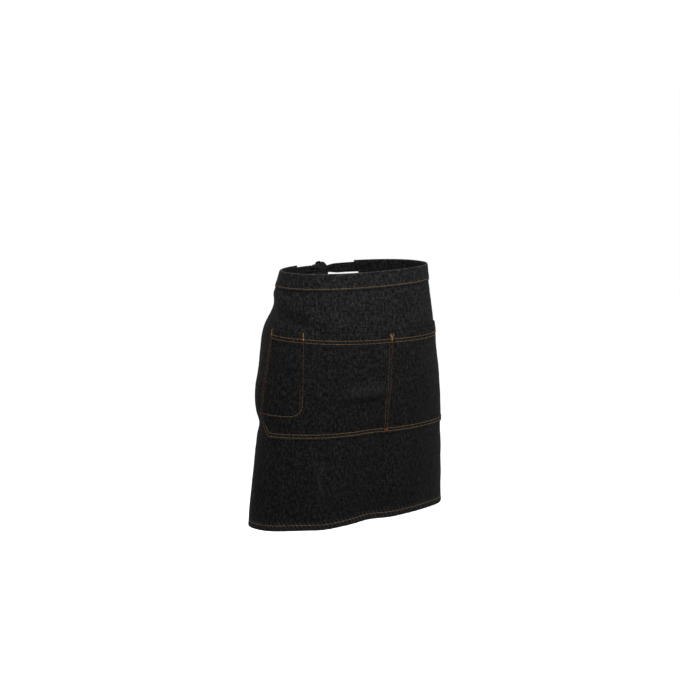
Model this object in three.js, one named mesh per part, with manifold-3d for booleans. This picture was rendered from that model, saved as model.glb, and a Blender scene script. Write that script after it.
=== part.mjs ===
// Waist apron: a cloth panel hanging from a folded waistband, one wide pocket panel
// sewn across its front, and two ties that meet in a knot at the back.
// Millimetres, +Z up, the front towards -Y, the wearer's left towards +X.
// The origin is the middle of the waist opening, halfway up the waistband.
//
// Every piece is laid out flat first. Its cloth has u, the distance sideways from the
// centre front, and v, the distance down from the waistband's top edge. Then it is
// wrapped round the body form, a stack of rounded rings, and lifted by the folds.

import * as THREE from 'three';
import { mergeVertices } from 'three/addons/utils/BufferGeometryUtils.js';
import Module from 'manifold-3d';

const wasm = await Module();
wasm.setup();

// Driving dimensions of the form inside, at the pocket's top edge
const hipWidth = 368;
const hipDepth = 271;
const ringFullness = 2.2;

// Driving dimensions of the cloth. backGap is between the waistband's two ends.
const backGap = 142;
const apronLength = 496;
const wall = 1.2;
const waistbandHeight = 32;
const seamAllowance = 6;
const sideHem = 10;
const bottomHem = 13;

// Driving dimensions of the pocket panel. pocketFlare is how far each side edge slants
// out on its way down, and pocketEase how far a compartment's mouth stands open.
const pocketWidth = 524;
const pocketFlare = 18;
const pocketHeight = 208;
const pocketDrop = 113;
const pocketHem = 22;
const pocketCorner = 28;
const phonePocketWidth = 84;
const phonePocketDepth = 164;
const pocketEase = 3.4;

// Driving dimensions of the knot. knotLip is how far it stands over and under the ties.
const knotWidth = 36;
const knotDepth = 17;
const knotLip = 3;
const tailLength = 150;

// How far the deepest fold stands off the form, and how pieces clear each other
const foldHeight = 10;
const clearance = 0.4;

// Fineness of the facets
const columnStep = 15;
const rowStep = 20;
const ringSamples = 360;
const hemStep = wall / 2;

// The form's rings from the waistband's top edge down to the hem. down is a share of
// apronLength, width of hipWidth, depth and back of hipDepth. Back moves a ring
// rearwards. acrossSlope and backSlope tip it, as rise over run.
const rings = [
  { down: 0.0, width: 0.842, depth: 0.806, back: -0.045, acrossSlope: 0.021, backSlope: -0.009 },
  { down: 0.057, width: 0.872, depth: 0.846, back: -0.026, acrossSlope: 0.02, backSlope: -0.012 },
  { down: 0.15, width: 0.932, depth: 0.925, back: -0.005, acrossSlope: 0.004, backSlope: 0.02 },
  { down: 0.26, width: 0.995, depth: 1.0, back: 0.015, acrossSlope: -0.011, backSlope: 0.044 },
  { down: 0.45, width: 1.06, depth: 0.95, back: 0.008, acrossSlope: 0.0, backSlope: 0.01 },
  { down: 0.637, width: 1.097, depth: 0.884, back: 0.005, acrossSlope: 0.009, backSlope: -0.022 },
  { down: 0.98, width: 1.172, depth: 0.893, back: 0.049, acrossSlope: 0.048, backSlope: -0.037 },
  { down: 1.0, width: 1.175, depth: 0.893, back: 0.05, acrossSlope: 0.048, backSlope: -0.037 },
];

// Soft folds and dents. across is a share of half the apron's width, and down, long and
// broad are shares of its length. turn is the fold's slant in degrees, with 90 for an
// upright one. rise lifts the cloth and drop lets it hang lower, as shares of foldHeight.
const folds = [
  // Under the waistband, on the wearer's right
  { across: -0.82, down: 0.085, turn: 0, long: 0.1, broad: 0.028, rise: 0.25, drop: 0 },
  { across: -0.86, down: 0.165, turn: 90, long: 0.07, broad: 0.12, rise: -0.8, drop: 0 },
  { across: -0.52, down: 0.147, turn: 20, long: 0.12, broad: 0.03, rise: 0.25, drop: 0 },
  { across: -0.56, down: 0.195, turn: 14, long: 0.13, broad: 0.035, rise: -0.4, drop: 0 },
  { across: -0.2, down: 0.14, turn: 0, long: 0.12, broad: 0.06, rise: 0.2, drop: 0 },
  // Across the pocket panel
  { across: -0.86, down: 0.5, turn: 90, long: 0.1, broad: 0.12, rise: 0.75, drop: 0 },
  { across: -0.84, down: 0.605, turn: 0, long: 0.14, broad: 0.032, rise: -0.5, drop: 0 },
  { across: 0.5, down: 0.34, turn: 90, long: 0.16, broad: 0.12, rise: -0.35, drop: 0 },
  { across: -0.16, down: 0.475, turn: 0, long: 0.1, broad: 0.03, rise: 0.22, drop: 0 },
  { across: -0.15, down: 0.53, turn: 0, long: 0.11, broad: 0.03, rise: -0.3, drop: 0 },
  // Down the skirt below the pocket
  { across: -0.92, down: 0.87, turn: 90, long: 0.2, broad: 0.15, rise: 0.3, drop: 0 },
  { across: -0.56, down: 0.87, turn: 90, long: 0.17, broad: 0.06, rise: -0.5, drop: 0 },
  { across: -0.365, down: 0.88, turn: 90, long: 0.2, broad: 0.06, rise: 0.6, drop: 0.2 },
  { across: -0.25, down: 0.76, turn: 90, long: 0.07, broad: 0.03, rise: 0.25, drop: 0 },
  { across: -0.08, down: 0.88, turn: 90, long: 0.25, broad: 0.07, rise: -1, drop: -0.3 },
  { across: 0.22, down: 0.88, turn: 90, long: 0.3, broad: 0.12, rise: 0.3, drop: -0.1 },
  { across: 0.6, down: 1, turn: 90, long: 0.12, broad: 0.15, rise: 0, drop: 0.4 },
];

// One value read from the ring table at a share of the length, on a smooth curve
function ringValue(key, down) {
  const last = rings.length - 1;
  const place = Math.min(Math.max(down, rings[0].down), rings[last].down);
  let i = 0;
  while (i < last - 1 && place > rings[i + 1].down) i += 1;
  const slopeAt = (k) => {
    const before = rings[Math.max(k - 1, 0)];
    const after = rings[Math.min(k + 1, last)];
    return (after[key] - before[key]) / (after.down - before.down);
  };
  const span = rings[i + 1].down - rings[i].down;
  const t = (place - rings[i].down) / span;
  const start = (1 + 2 * t) * (1 - t) ** 2 * rings[i][key];
  const end = t ** 2 * (3 - 2 * t) * rings[i + 1][key];
  const startSlope = t * (1 - t) ** 2 * slopeAt(i) * span;
  const endSlope = t ** 2 * (t - 1) * slopeAt(i + 1) * span;
  return start + end + startSlope + endSlope;
}

// One ring of the form, as its right half from the centre front to the centre back
function makeRing(v) {
  const down = v / apronLength;
  const halfWidth = (hipWidth / 2) * ringValue('width', down);
  const halfDepth = (hipDepth / 2) * ringValue('depth', down);
  const centre = hipDepth * ringValue('back', down);
  const power = 2 / ringFullness;
  const xs = [];
  const ys = [];
  const arcs = [];
  for (let i = 0; i <= ringSamples; i += 1) {
    const angle = Math.PI * (i / ringSamples - 0.5);
    const sine = Math.sin(angle);
    xs.push(halfWidth * Math.max(Math.cos(angle), 0) ** power);
    ys.push(centre + halfDepth * Math.sign(sine) * Math.abs(sine) ** power);
    const step = i === 0 ? 0 : Math.hypot(xs[i] - xs[i - 1], ys[i] - ys[i - 1]);
    arcs.push(i === 0 ? 0 : arcs[i - 1] + step);
  }
  const last = arcs.length - 1;
  return {
    xs,
    ys,
    arcs,
    last,
    halfGirth: arcs[last],
    acrossSlope: ringValue('acrossSlope', down),
    backSlope: ringValue('backSlope', down),
  };
}

const ringCache = new Map();
function ringAt(v) {
  if (!ringCache.has(v)) ringCache.set(v, makeRing(v));
  return ringCache.get(v);
}

// The point of a ring that lies u round from the centre front, with its outward normal
function ringPoint(ring, u) {
  const side = u < 0 ? -1 : 1;
  const arc = Math.min(Math.abs(u), ring.halfGirth);
  let low = 0;
  let high = ring.last;
  while (high - low > 1) {
    const middle = (low + high) >> 1;
    if (ring.arcs[middle] < arc) low = middle;
    else high = middle;
  }
  const t = (arc - ring.arcs[low]) / (ring.arcs[high] - ring.arcs[low]);
  const x = THREE.MathUtils.lerp(ring.xs[low], ring.xs[high], t);
  const y = THREE.MathUtils.lerp(ring.ys[low], ring.ys[high], t);
  const from = Math.max(low - 2, 0);
  const to = Math.min(high + 2, ring.last);
  const along = new THREE.Vector2(ring.xs[to] - ring.xs[from], ring.ys[to] - ring.ys[from]);
  if (from === 0 || to === ring.last) along.y = 0;
  along.normalize();
  return { x: side * x, y, normalX: side * along.y, normalY: -along.x };
}

// Shared places on the cloth
const halfApron = ringAt(0).halfGirth - backGap / 2;
const halfPocket = pocketWidth / 2;
const halfPocketFoot = halfPocket + pocketFlare;
const pocketBottom = pocketDrop + pocketHeight;
const phoneSeam = halfPocket - phonePocketWidth;
const panelTop = waistbandHeight - seamAllowance;

// How the folds move the cloth at one place, fading out at the waistband
function foldMove(u, v) {
  const free = THREE.MathUtils.smoothstep(v, waistbandHeight, waistbandHeight + 2 * bottomHem);
  let lift = 0;
  let sag = 0;
  for (const fold of folds) {
    const aside = u - fold.across * halfApron;
    const below = v - fold.down * apronLength;
    const turn = THREE.MathUtils.degToRad(fold.turn);
    const along = aside * Math.cos(turn) + below * Math.sin(turn);
    const cross = below * Math.cos(turn) - aside * Math.sin(turn);
    const reach = (along / (fold.long * apronLength)) ** 2 + (cross / (fold.broad * apronLength)) ** 2;
    lift += fold.rise * Math.exp(-reach);
    sag += fold.drop * Math.exp(-reach);
  }
  return { lift: free * foldHeight * lift, sag: free * foldHeight * sag };
}

// A point of the cloth in space, offset outwards from the panel's outer face
function onForm(u, v, offset) {
  const ring = ringAt(v);
  const point = ringPoint(ring, u);
  const { lift, sag } = foldMove(u, v);
  const x = point.x + (offset + lift) * point.normalX;
  const y = point.y + (offset + lift) * point.normalY;
  const tip = ring.acrossSlope * point.x + ring.backSlope * point.y;
  return new THREE.Vector3(x, y, waistbandHeight / 2 - v + tip - sag);
}

// Places from the first stop to the last, each stretch divided evenly
function divide(stops, step) {
  const places = [stops[0]];
  for (let i = 1; i < stops.length; i += 1) {
    const stretch = stops[i] - stops[i - 1];
    const count = Math.max(1, Math.round(stretch / step));
    for (let k = 1; k < count; k += 1) places.push(stops[i - 1] + (stretch * k) / count);
    places.push(stops[i]);
  }
  return places;
}

// Columns and rows that all the cloth pieces share, so that facing walls run parallel
const cornerColumn = halfPocketFoot - pocketCorner;
const rightStops = [0, phoneSeam, cornerColumn, halfPocket, halfPocketFoot];
rightStops.push(halfApron - sideHem - hemStep, halfApron - sideHem, halfApron);
const rightColumns = divide(rightStops, columnStep);
const leftColumns = rightColumns.slice(1).reverse().map((u) => -u);
const columns = [...leftColumns, ...rightColumns];

const pocketStops = [pocketDrop, pocketDrop + pocketHem, pocketBottom - pocketCorner];
pocketStops.push(pocketBottom - (halfPocket - cornerColumn), pocketBottom);
const panelStops = [panelTop, waistbandHeight, waistbandHeight + hemStep, ...pocketStops];
panelStops.push(apronLength - bottomHem - hemStep, apronLength - bottomHem, apronLength);
const rows = divide(panelStops, rowStep);
const pocketColumns = columns.filter((u) => Math.abs(u) <= halfPocketFoot);
const pocketRows = rows.filter((v) => v >= pocketDrop && v <= pocketBottom);

// One closed mesh from a geometry, its doubled corners merged and empty faces dropped
function welded(geometry) {
  geometry.deleteAttribute('normal');
  geometry.deleteAttribute('uv');
  const merged = mergeVertices(geometry, 1e-5);
  const index = merged.getIndex();
  const kept = [];
  for (let i = 0; i < index.count; i += 3) {
    const corners = [index.getX(i), index.getX(i + 1), index.getX(i + 2)];
    if (new Set(corners).size === 3) kept.push(...corners);
  }
  merged.setIndex(kept);
  merged.computeVertexNormals();
  return merged;
}

// A flat cloth piece with two faces, each of its corners put in place by place(u, v, outer)
function clothSolid(across, downwards, place) {
  const columnCount = across.length - 1;
  const rowCount = downwards.length - 1;
  const slab = new THREE.BoxGeometry(1, 1, 1, columnCount, 1, rowCount);
  const points = slab.attributes.position;
  for (let i = 0; i < points.count; i += 1) {
    const column = Math.round((points.getX(i) + 0.5) * columnCount);
    const row = Math.round((0.5 - points.getZ(i)) * rowCount);
    const point = place(across[column], downwards[row], points.getY(i) < 0);
    points.setXYZ(i, point.x, point.y, point.z);
  }
  return welded(slab);
}

// A strip with one section all along, each corner put in place by place(stop, inward, v)
function stripSolid(section, stops, place) {
  const shape = new THREE.Shape(section.map((corner) => new THREE.Vector2(corner.inward, -corner.v)));
  const count = stops.length - 1;
  const strip = new THREE.ExtrudeGeometry(shape, { depth: count, steps: count, bevelEnabled: false });
  const points = strip.attributes.position;
  for (let i = 0; i < points.count; i += 1) {
    const stop = stops[Math.round(points.getZ(i))];
    const point = place(stop, points.getX(i), -points.getY(i));
    points.setXYZ(i, point.x, point.y, point.z);
  }
  return welded(strip);
}

// Panel

function inHem(u, v) {
  const inSideHem = Math.abs(u) >= halfApron - sideHem && v > waistbandHeight;
  return inSideHem || v >= apronLength - bottomHem;
}

function makePanel() {
  return clothSolid(columns, rows, (u, v, outer) => {
    const thickness = inHem(u, v) ? 2 * wall : wall;
    return onForm(u, v, outer ? 0 : -thickness);
  });
}

// Pocket panel

// Half the pocket panel's width at one level, between its slanting side edges
function pocketEdge(v) {
  return halfPocket + (pocketFlare * (v - pocketDrop)) / pocketHeight;
}

// How far the pocket panel stands off between the seams that hold it to the apron
function pocketLift(u, v) {
  const aside = Math.abs(u);
  const inside = aside < phoneSeam;
  const across = inside ? aside / phoneSeam : (aside - phoneSeam) / (pocketEdge(v) - phoneSeam);
  const depth = u < -phoneSeam ? phonePocketDepth : pocketHeight;
  const downShare = Math.min((v - pocketDrop) / depth, 1);
  return pocketEase * Math.sin(Math.PI * across) * (1 - downShare ** 2);
}

// The lowest place of the pocket panel in one column, higher at its cut-off corners
function pocketFloor(u) {
  return pocketBottom - Math.max(Math.abs(u) - cornerColumn, 0);
}

function makePocket() {
  return clothSolid(pocketColumns, pocketRows, (column, row, outer) => {
    const v = Math.min(row, pocketFloor(column));
    const u = THREE.MathUtils.clamp(column, -pocketEdge(v), pocketEdge(v));
    const thickness = v < pocketDrop + pocketHem ? 2 * wall : wall;
    const inner = clearance + pocketLift(u, v);
    return onForm(u, v, outer ? inner + thickness : inner);
  });
}

// Waistband

// The folded strip in section: inward is the depth behind the panel's outer face
const bandFront = -clearance - wall;
const bandBack = 2 * wall + clearance;
const bandSection = [
  { inward: bandFront, v: waistbandHeight },
  { inward: bandFront, v: panelTop },
  { inward: bandFront, v: wall },
  { inward: bandFront + wall, v: 0 },
  { inward: bandBack - wall, v: 0 },
  { inward: bandBack, v: wall },
  { inward: bandBack, v: panelTop },
  { inward: bandBack, v: waistbandHeight },
  { inward: wall + clearance, v: waistbandHeight },
  { inward: wall + clearance, v: panelTop },
  { inward: wall + clearance, v: wall },
  { inward: -clearance, v: wall },
  { inward: -clearance, v: panelTop },
  { inward: -clearance, v: waistbandHeight },
];

function makeWaistband() {
  return stripSolid(bandSection, columns, (u, inward, v) => onForm(u, v, -inward));
}

// Ties

const tieTop = wall + clearance;
const tieBottom = panelTop - clearance;
const tieWidth = tieBottom - tieTop;
const tieSection = [
  { inward: 0, v: tieBottom },
  { inward: 0, v: tieTop },
  { inward: wall, v: tieTop },
  { inward: wall, v: tieBottom },
];
const knotGrip = knotWidth / 4;

// Where a tie's sections stand, from inside the waistband's end to inside the knot
function tieStops(side) {
  const start = halfApron - sideHem;
  const reach = ringAt(tieTop).halfGirth - knotGrip;
  const stops = divide([start, halfApron, reach], columnStep);
  const ordered = side < 0 ? stops.reverse() : stops;
  return ordered.map((u) => side * u);
}

// A tie keeps its upper and lower edges level with each other all the way to the knot
function onTie(u, inward, v) {
  const girth = ringAt(tieTop).halfGirth;
  const past = Math.max(Math.abs(u) - halfApron, 0) / (girth - halfApron);
  const stretch = (ringAt(v).halfGirth - girth) * past;
  return onForm(u + Math.sign(u) * stretch, v, -inward);
}

function makeTie(side) {
  return stripSolid(tieSection, tieStops(side), onTie);
}

// Knot with its two hanging ends

function toManifold(geometry) {
  const vertProperties = new Float32Array(geometry.attributes.position.array);
  const triVerts = new Uint32Array(geometry.getIndex().array);
  return new wasm.Manifold(new wasm.Mesh({ numProp: 3, vertProperties, triVerts }));
}

function toGeometry(manifold) {
  const mesh = manifold.getMesh();
  const geometry = new THREE.BufferGeometry();
  geometry.setAttribute('position', new THREE.BufferAttribute(mesh.vertProperties, 3));
  geometry.setIndex(new THREE.BufferAttribute(mesh.triVerts, 1));
  geometry.computeVertexNormals();
  return geometry;
}

const knotHeight = tieWidth + 2 * knotLip;
const knotLevel = (tieTop + tieBottom) / 2;
const knotCentre = onForm(ringAt(knotLevel).halfGirth, knotLevel, knotDepth / 4);
const knotRoundness = 0.7;

function makeKnotBody() {
  const ball = new THREE.SphereGeometry(1, 20, 12);
  const points = ball.attributes.position;
  const round = (value) => Math.sign(value) * Math.abs(value) ** knotRoundness;
  for (let i = 0; i < points.count; i += 1) {
    const x = (round(points.getX(i)) * knotWidth) / 2;
    const y = (round(points.getY(i)) * knotDepth) / 2;
    const z = (round(points.getZ(i)) * knotHeight) / 2;
    points.setXYZ(i, knotCentre.x + x, knotCentre.y + y, knotCentre.z + z);
  }
  return toManifold(welded(ball));
}

// One hanging end of a tie, folded double, that drops from the knot and swings aside
function makeTail(side) {
  const halfTail = tieWidth / 2;
  const section = [
    { inward: -wall, v: -halfTail },
    { inward: wall, v: -halfTail },
    { inward: wall, v: halfTail },
    { inward: -wall, v: halfTail },
  ];
  const top = knotHeight / 4;
  const stops = divide([-top, knotHeight / 2, knotHeight / 2 + tailLength], columnStep);
  const swing = tieWidth / 2;
  const outward = (wall + clearance) * side;
  const tail = stripSolid(section, stops, (stop, inward, aside) => {
    const share = Math.max(stop, 0) / tailLength;
    const x = knotCentre.x + side * swing * share - aside;
    const y = knotCentre.y + outward + inward + clearance * Math.sin(2 * Math.PI * share);
    return new THREE.Vector3(x, y, knotCentre.z - stop);
  });
  return toManifold(tail);
}

// The room that a tie takes inside the knot, with its clearance all round
function tieRoom(side) {
  const grown = [
    { inward: -clearance, v: tieBottom + clearance },
    { inward: -clearance, v: tieTop - clearance },
    { inward: wall + clearance, v: tieTop - clearance },
    { inward: wall + clearance, v: tieBottom + clearance },
  ];
  const stops = tieStops(side);
  const end = side < 0 ? 0 : stops.length - 1;
  stops[end] += side * clearance;
  return toManifold(stripSolid(grown, stops, onTie));
}

function makeKnot() {
  const tied = makeKnotBody().add(makeTail(-1)).add(makeTail(1));
  return toGeometry(tied.subtract(tieRoom(-1)).subtract(tieRoom(1)));
}

// Materials and assembly

const cloth = { roughness: 0.95, metalness: 0 };
const panelCloth = new THREE.MeshStandardMaterial({ color: 0x1b1b1d, ...cloth });
const pocketCloth = new THREE.MeshStandardMaterial({ color: 0x202022, ...cloth });
const bandCloth = new THREE.MeshStandardMaterial({ color: 0x242426, ...cloth });
const tieCloth = new THREE.MeshStandardMaterial({ color: 0x1e1e20, ...cloth });

const apron = new THREE.Group();

function addPiece(name, geometry, material) {
  const piece = new THREE.Mesh(geometry, material);
  piece.name = name;
  apron.add(piece);
}

addPiece('apron_panel', makePanel(), panelCloth);
addPiece('waistband', makeWaistband(), bandCloth);
addPiece('pocket_panel', makePocket(), pocketCloth);
addPiece('tie_right', makeTie(-1), tieCloth);
addPiece('tie_left', makeTie(1), tieCloth);
addPiece('tie_knot', makeKnot(), tieCloth);

export default apron;
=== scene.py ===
"""Waist apron in black denim: a panel hung from a folded waistband, a wide pocket panel sewn across its
front with tan topstitching and orange bartacks, and two ties knotted at the back.

Every cloth is cut flat first, in cloth space: x runs round from the centre front, y is the height
above the waistband's top edge, so it is negative, and z is how far the cloth stands off the form.
Then it is wrapped round the body form. Throughout, u is a distance round from the centre front,
towards the wearer's left, and v one down from the waistband's top edge. Lengths are in metres.
"""

import logging
import math
import random
from dataclasses import dataclass, field
from enum import Enum
from typing import Callable, Iterable, Sequence

import bmesh
import bpy
import numpy as np
from mathutils import Matrix, Vector


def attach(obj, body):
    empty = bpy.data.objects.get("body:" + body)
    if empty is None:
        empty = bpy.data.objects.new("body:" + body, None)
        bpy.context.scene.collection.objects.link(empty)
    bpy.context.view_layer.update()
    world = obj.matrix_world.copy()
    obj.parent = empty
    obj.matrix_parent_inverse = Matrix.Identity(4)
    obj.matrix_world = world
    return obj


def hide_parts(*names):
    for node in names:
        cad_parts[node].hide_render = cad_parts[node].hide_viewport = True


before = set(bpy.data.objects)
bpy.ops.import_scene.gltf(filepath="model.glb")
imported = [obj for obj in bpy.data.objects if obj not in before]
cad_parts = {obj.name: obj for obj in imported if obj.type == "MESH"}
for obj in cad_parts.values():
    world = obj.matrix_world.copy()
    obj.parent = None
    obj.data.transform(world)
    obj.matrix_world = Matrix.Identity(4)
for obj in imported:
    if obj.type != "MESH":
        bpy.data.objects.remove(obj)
log = logging.getLogger("apron")

FAR = 1e9
TINY = 1e-5
NEAR = 0.0002
# The seam attribute where no seam is near: along it, beside it, and half the gap of its rows
NO_SEAM = (0.0, 1.0, 0.0)
SIDES = (("right", -1), ("left", 1))

Array = np.ndarray
Triple = tuple[float, float, float]
Spans = tuple[float, float, float, float]
Outline = Callable[[Array, Array], Array]
Tree = bpy.types.NodeTree
Socket = bpy.types.NodeSocket
Piece = bpy.types.Object
FlatCloth = bmesh.types.BMesh


def smoothstep(low: float, high: float, value: Array) -> Array:
    """A smooth rise from 0 at low to 1 at high.

    Args:
        low: Where the rise starts.
        high: Where it ends. It may be below low, for a fall.
        value: The places to read.

    Returns:
        The height of the rise at each place.
    """
    share = np.clip((value - low) / (high - low), 0.0, 1.0)
    return share * share * (3.0 - 2.0 * share)


def bell(value: Array, centre: float, width: float, power: int = 2) -> Array:
    """A smooth bump of 1 at centre, down to 1/e a width away. A power of 4 gives it a flat top."""
    return np.exp(-((value - centre) / width) ** power)


@dataclass(frozen=True)
class Wave:
    """Slanting waves in the cloth. Their crests wander by an angle, at a rate along them."""

    height: float
    lean: float
    length: float
    wander: float
    rate: float

    def at(self, along: Array, beside: Array) -> Array:
        """How far the waves lift the cloth, at places along and beside their main direction."""
        phase = 2 * math.pi * (along + self.lean * beside) / self.length
        return self.height * np.sin(phase + self.wander * np.sin(along * self.rate))


# Body form

@dataclass(frozen=True)
class Ring:
    """One ring of the body form, in shares of the apron's length and the hips' size."""

    down: float
    width: float
    depth: float
    back: float
    across_slope: float
    back_slope: float


@dataclass(frozen=True)
class Fold:
    """A soft ridge or dent. across is a share of half the apron; down, long and broad are of its length."""

    across: float
    down: float
    turn: float
    long: float
    broad: float
    rise: float
    drop: float = 0.0


RINGS = (
    Ring(0.0, 0.842, 0.806, -0.045, 0.021, -0.009),
    Ring(0.057, 0.872, 0.846, -0.026, 0.02, -0.012),
    Ring(0.15, 0.932, 0.925, -0.005, 0.004, 0.02),
    Ring(0.26, 0.995, 1.0, 0.015, -0.011, 0.044),
    Ring(0.45, 1.06, 0.95, 0.008, 0.0, 0.01),
    Ring(0.637, 1.097, 0.884, 0.005, 0.009, -0.022),
    Ring(0.98, 1.172, 0.893, 0.049, 0.048, -0.037),
    Ring(1.0, 1.175, 0.893, 0.05, 0.048, -0.037),
)

# The main folds, as in the solids
FOLDS = (
    Fold(-0.82, 0.085, 0, 0.1, 0.028, 0.25),
    Fold(-0.86, 0.165, 90, 0.07, 0.12, -0.8),
    Fold(-0.52, 0.147, 20, 0.12, 0.03, 0.25),
    Fold(-0.56, 0.195, 14, 0.13, 0.035, -0.4),
    Fold(-0.2, 0.14, 0, 0.12, 0.06, 0.2),
    Fold(-0.86, 0.5, 90, 0.1, 0.12, 0.75),
    Fold(-0.84, 0.605, 0, 0.14, 0.032, -0.5),
    Fold(0.5, 0.34, 90, 0.16, 0.12, -0.35),
    Fold(-0.16, 0.475, 0, 0.1, 0.03, 0.22),
    Fold(-0.15, 0.53, 0, 0.11, 0.03, -0.3),
    Fold(-0.92, 0.87, 90, 0.2, 0.15, 0.3),
    Fold(-0.56, 0.87, 90, 0.17, 0.06, -0.5),
    Fold(-0.365, 0.88, 90, 0.2, 0.06, 0.6, 0.2),
    Fold(-0.25, 0.76, 90, 0.07, 0.03, 0.25),
    Fold(-0.08, 0.88, 90, 0.25, 0.07, -1.0, -0.3),
    Fold(0.22, 0.88, 90, 0.3, 0.12, 0.3, -0.1),
    Fold(0.6, 1.0, 90, 0.12, 0.15, 0.0, 0.4),
)

# Small creases that only the cloth itself shows
CREASES = (
    Fold(-0.66, 0.1, 8, 0.05, 0.012, 0.12),
    Fold(-0.44, 0.165, 24, 0.07, 0.014, 0.1),
    Fold(-0.62, 0.185, -12, 0.05, 0.012, -0.1),
    Fold(-0.14, 0.465, -3, 0.09, 0.026, 0.5),
    Fold(-0.12, 0.502, -3, 0.095, 0.013, -0.45),
    Fold(-0.12, 0.44, 60, 0.05, 0.014, 0.08),
    Fold(-0.34, 0.34, 75, 0.08, 0.016, 0.07),
    Fold(0.22, 0.42, 100, 0.09, 0.018, 0.07),
    Fold(0.12, 0.7, 70, 0.06, 0.014, 0.1),
    Fold(-0.2, 0.68, 80, 0.05, 0.013, -0.08),
)


class Rumple:
    """Faint unevenness of worn cloth, as a fixed sum of long soft waves."""

    turn_spread = 0.7
    height_power = 0.7

    def __init__(self, seed: int, count: int, shortest: float, longest: float, height: float) -> None:
        """Draws the waves.

        Args:
            seed: Start of the random draw, so that every run gives the same cloth.
            count: How many waves.
            shortest: Shortest wave, from crest to crest.
            longest: Longest wave.
            height: Typical height of the sum.
        """
        draw = random.Random(seed)
        self.waves = []
        for _ in range(count):
            length = shortest * (longest / shortest) ** draw.random()
            turn = draw.gauss(0.0, self.turn_spread)
            phase = draw.uniform(0.0, 2.0 * math.pi)
            share = height * math.sqrt(2.0 / count) * (length / longest) ** self.height_power
            self.waves.append((math.cos(turn) / length, math.sin(turn) / length, phase, share))

    def at(self, u: Array, v: Array) -> Array:
        """How far the unevenness lifts the cloth.

        Args:
            u: Distances round.
            v: Distances down.

        Returns:
            The lift at each place.
        """
        lift = np.zeros_like(u)
        for across, downwards, phase, share in self.waves:
            lift += share * np.sin(2.0 * math.pi * (u * across + v * downwards) + phase)
        return lift


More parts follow.
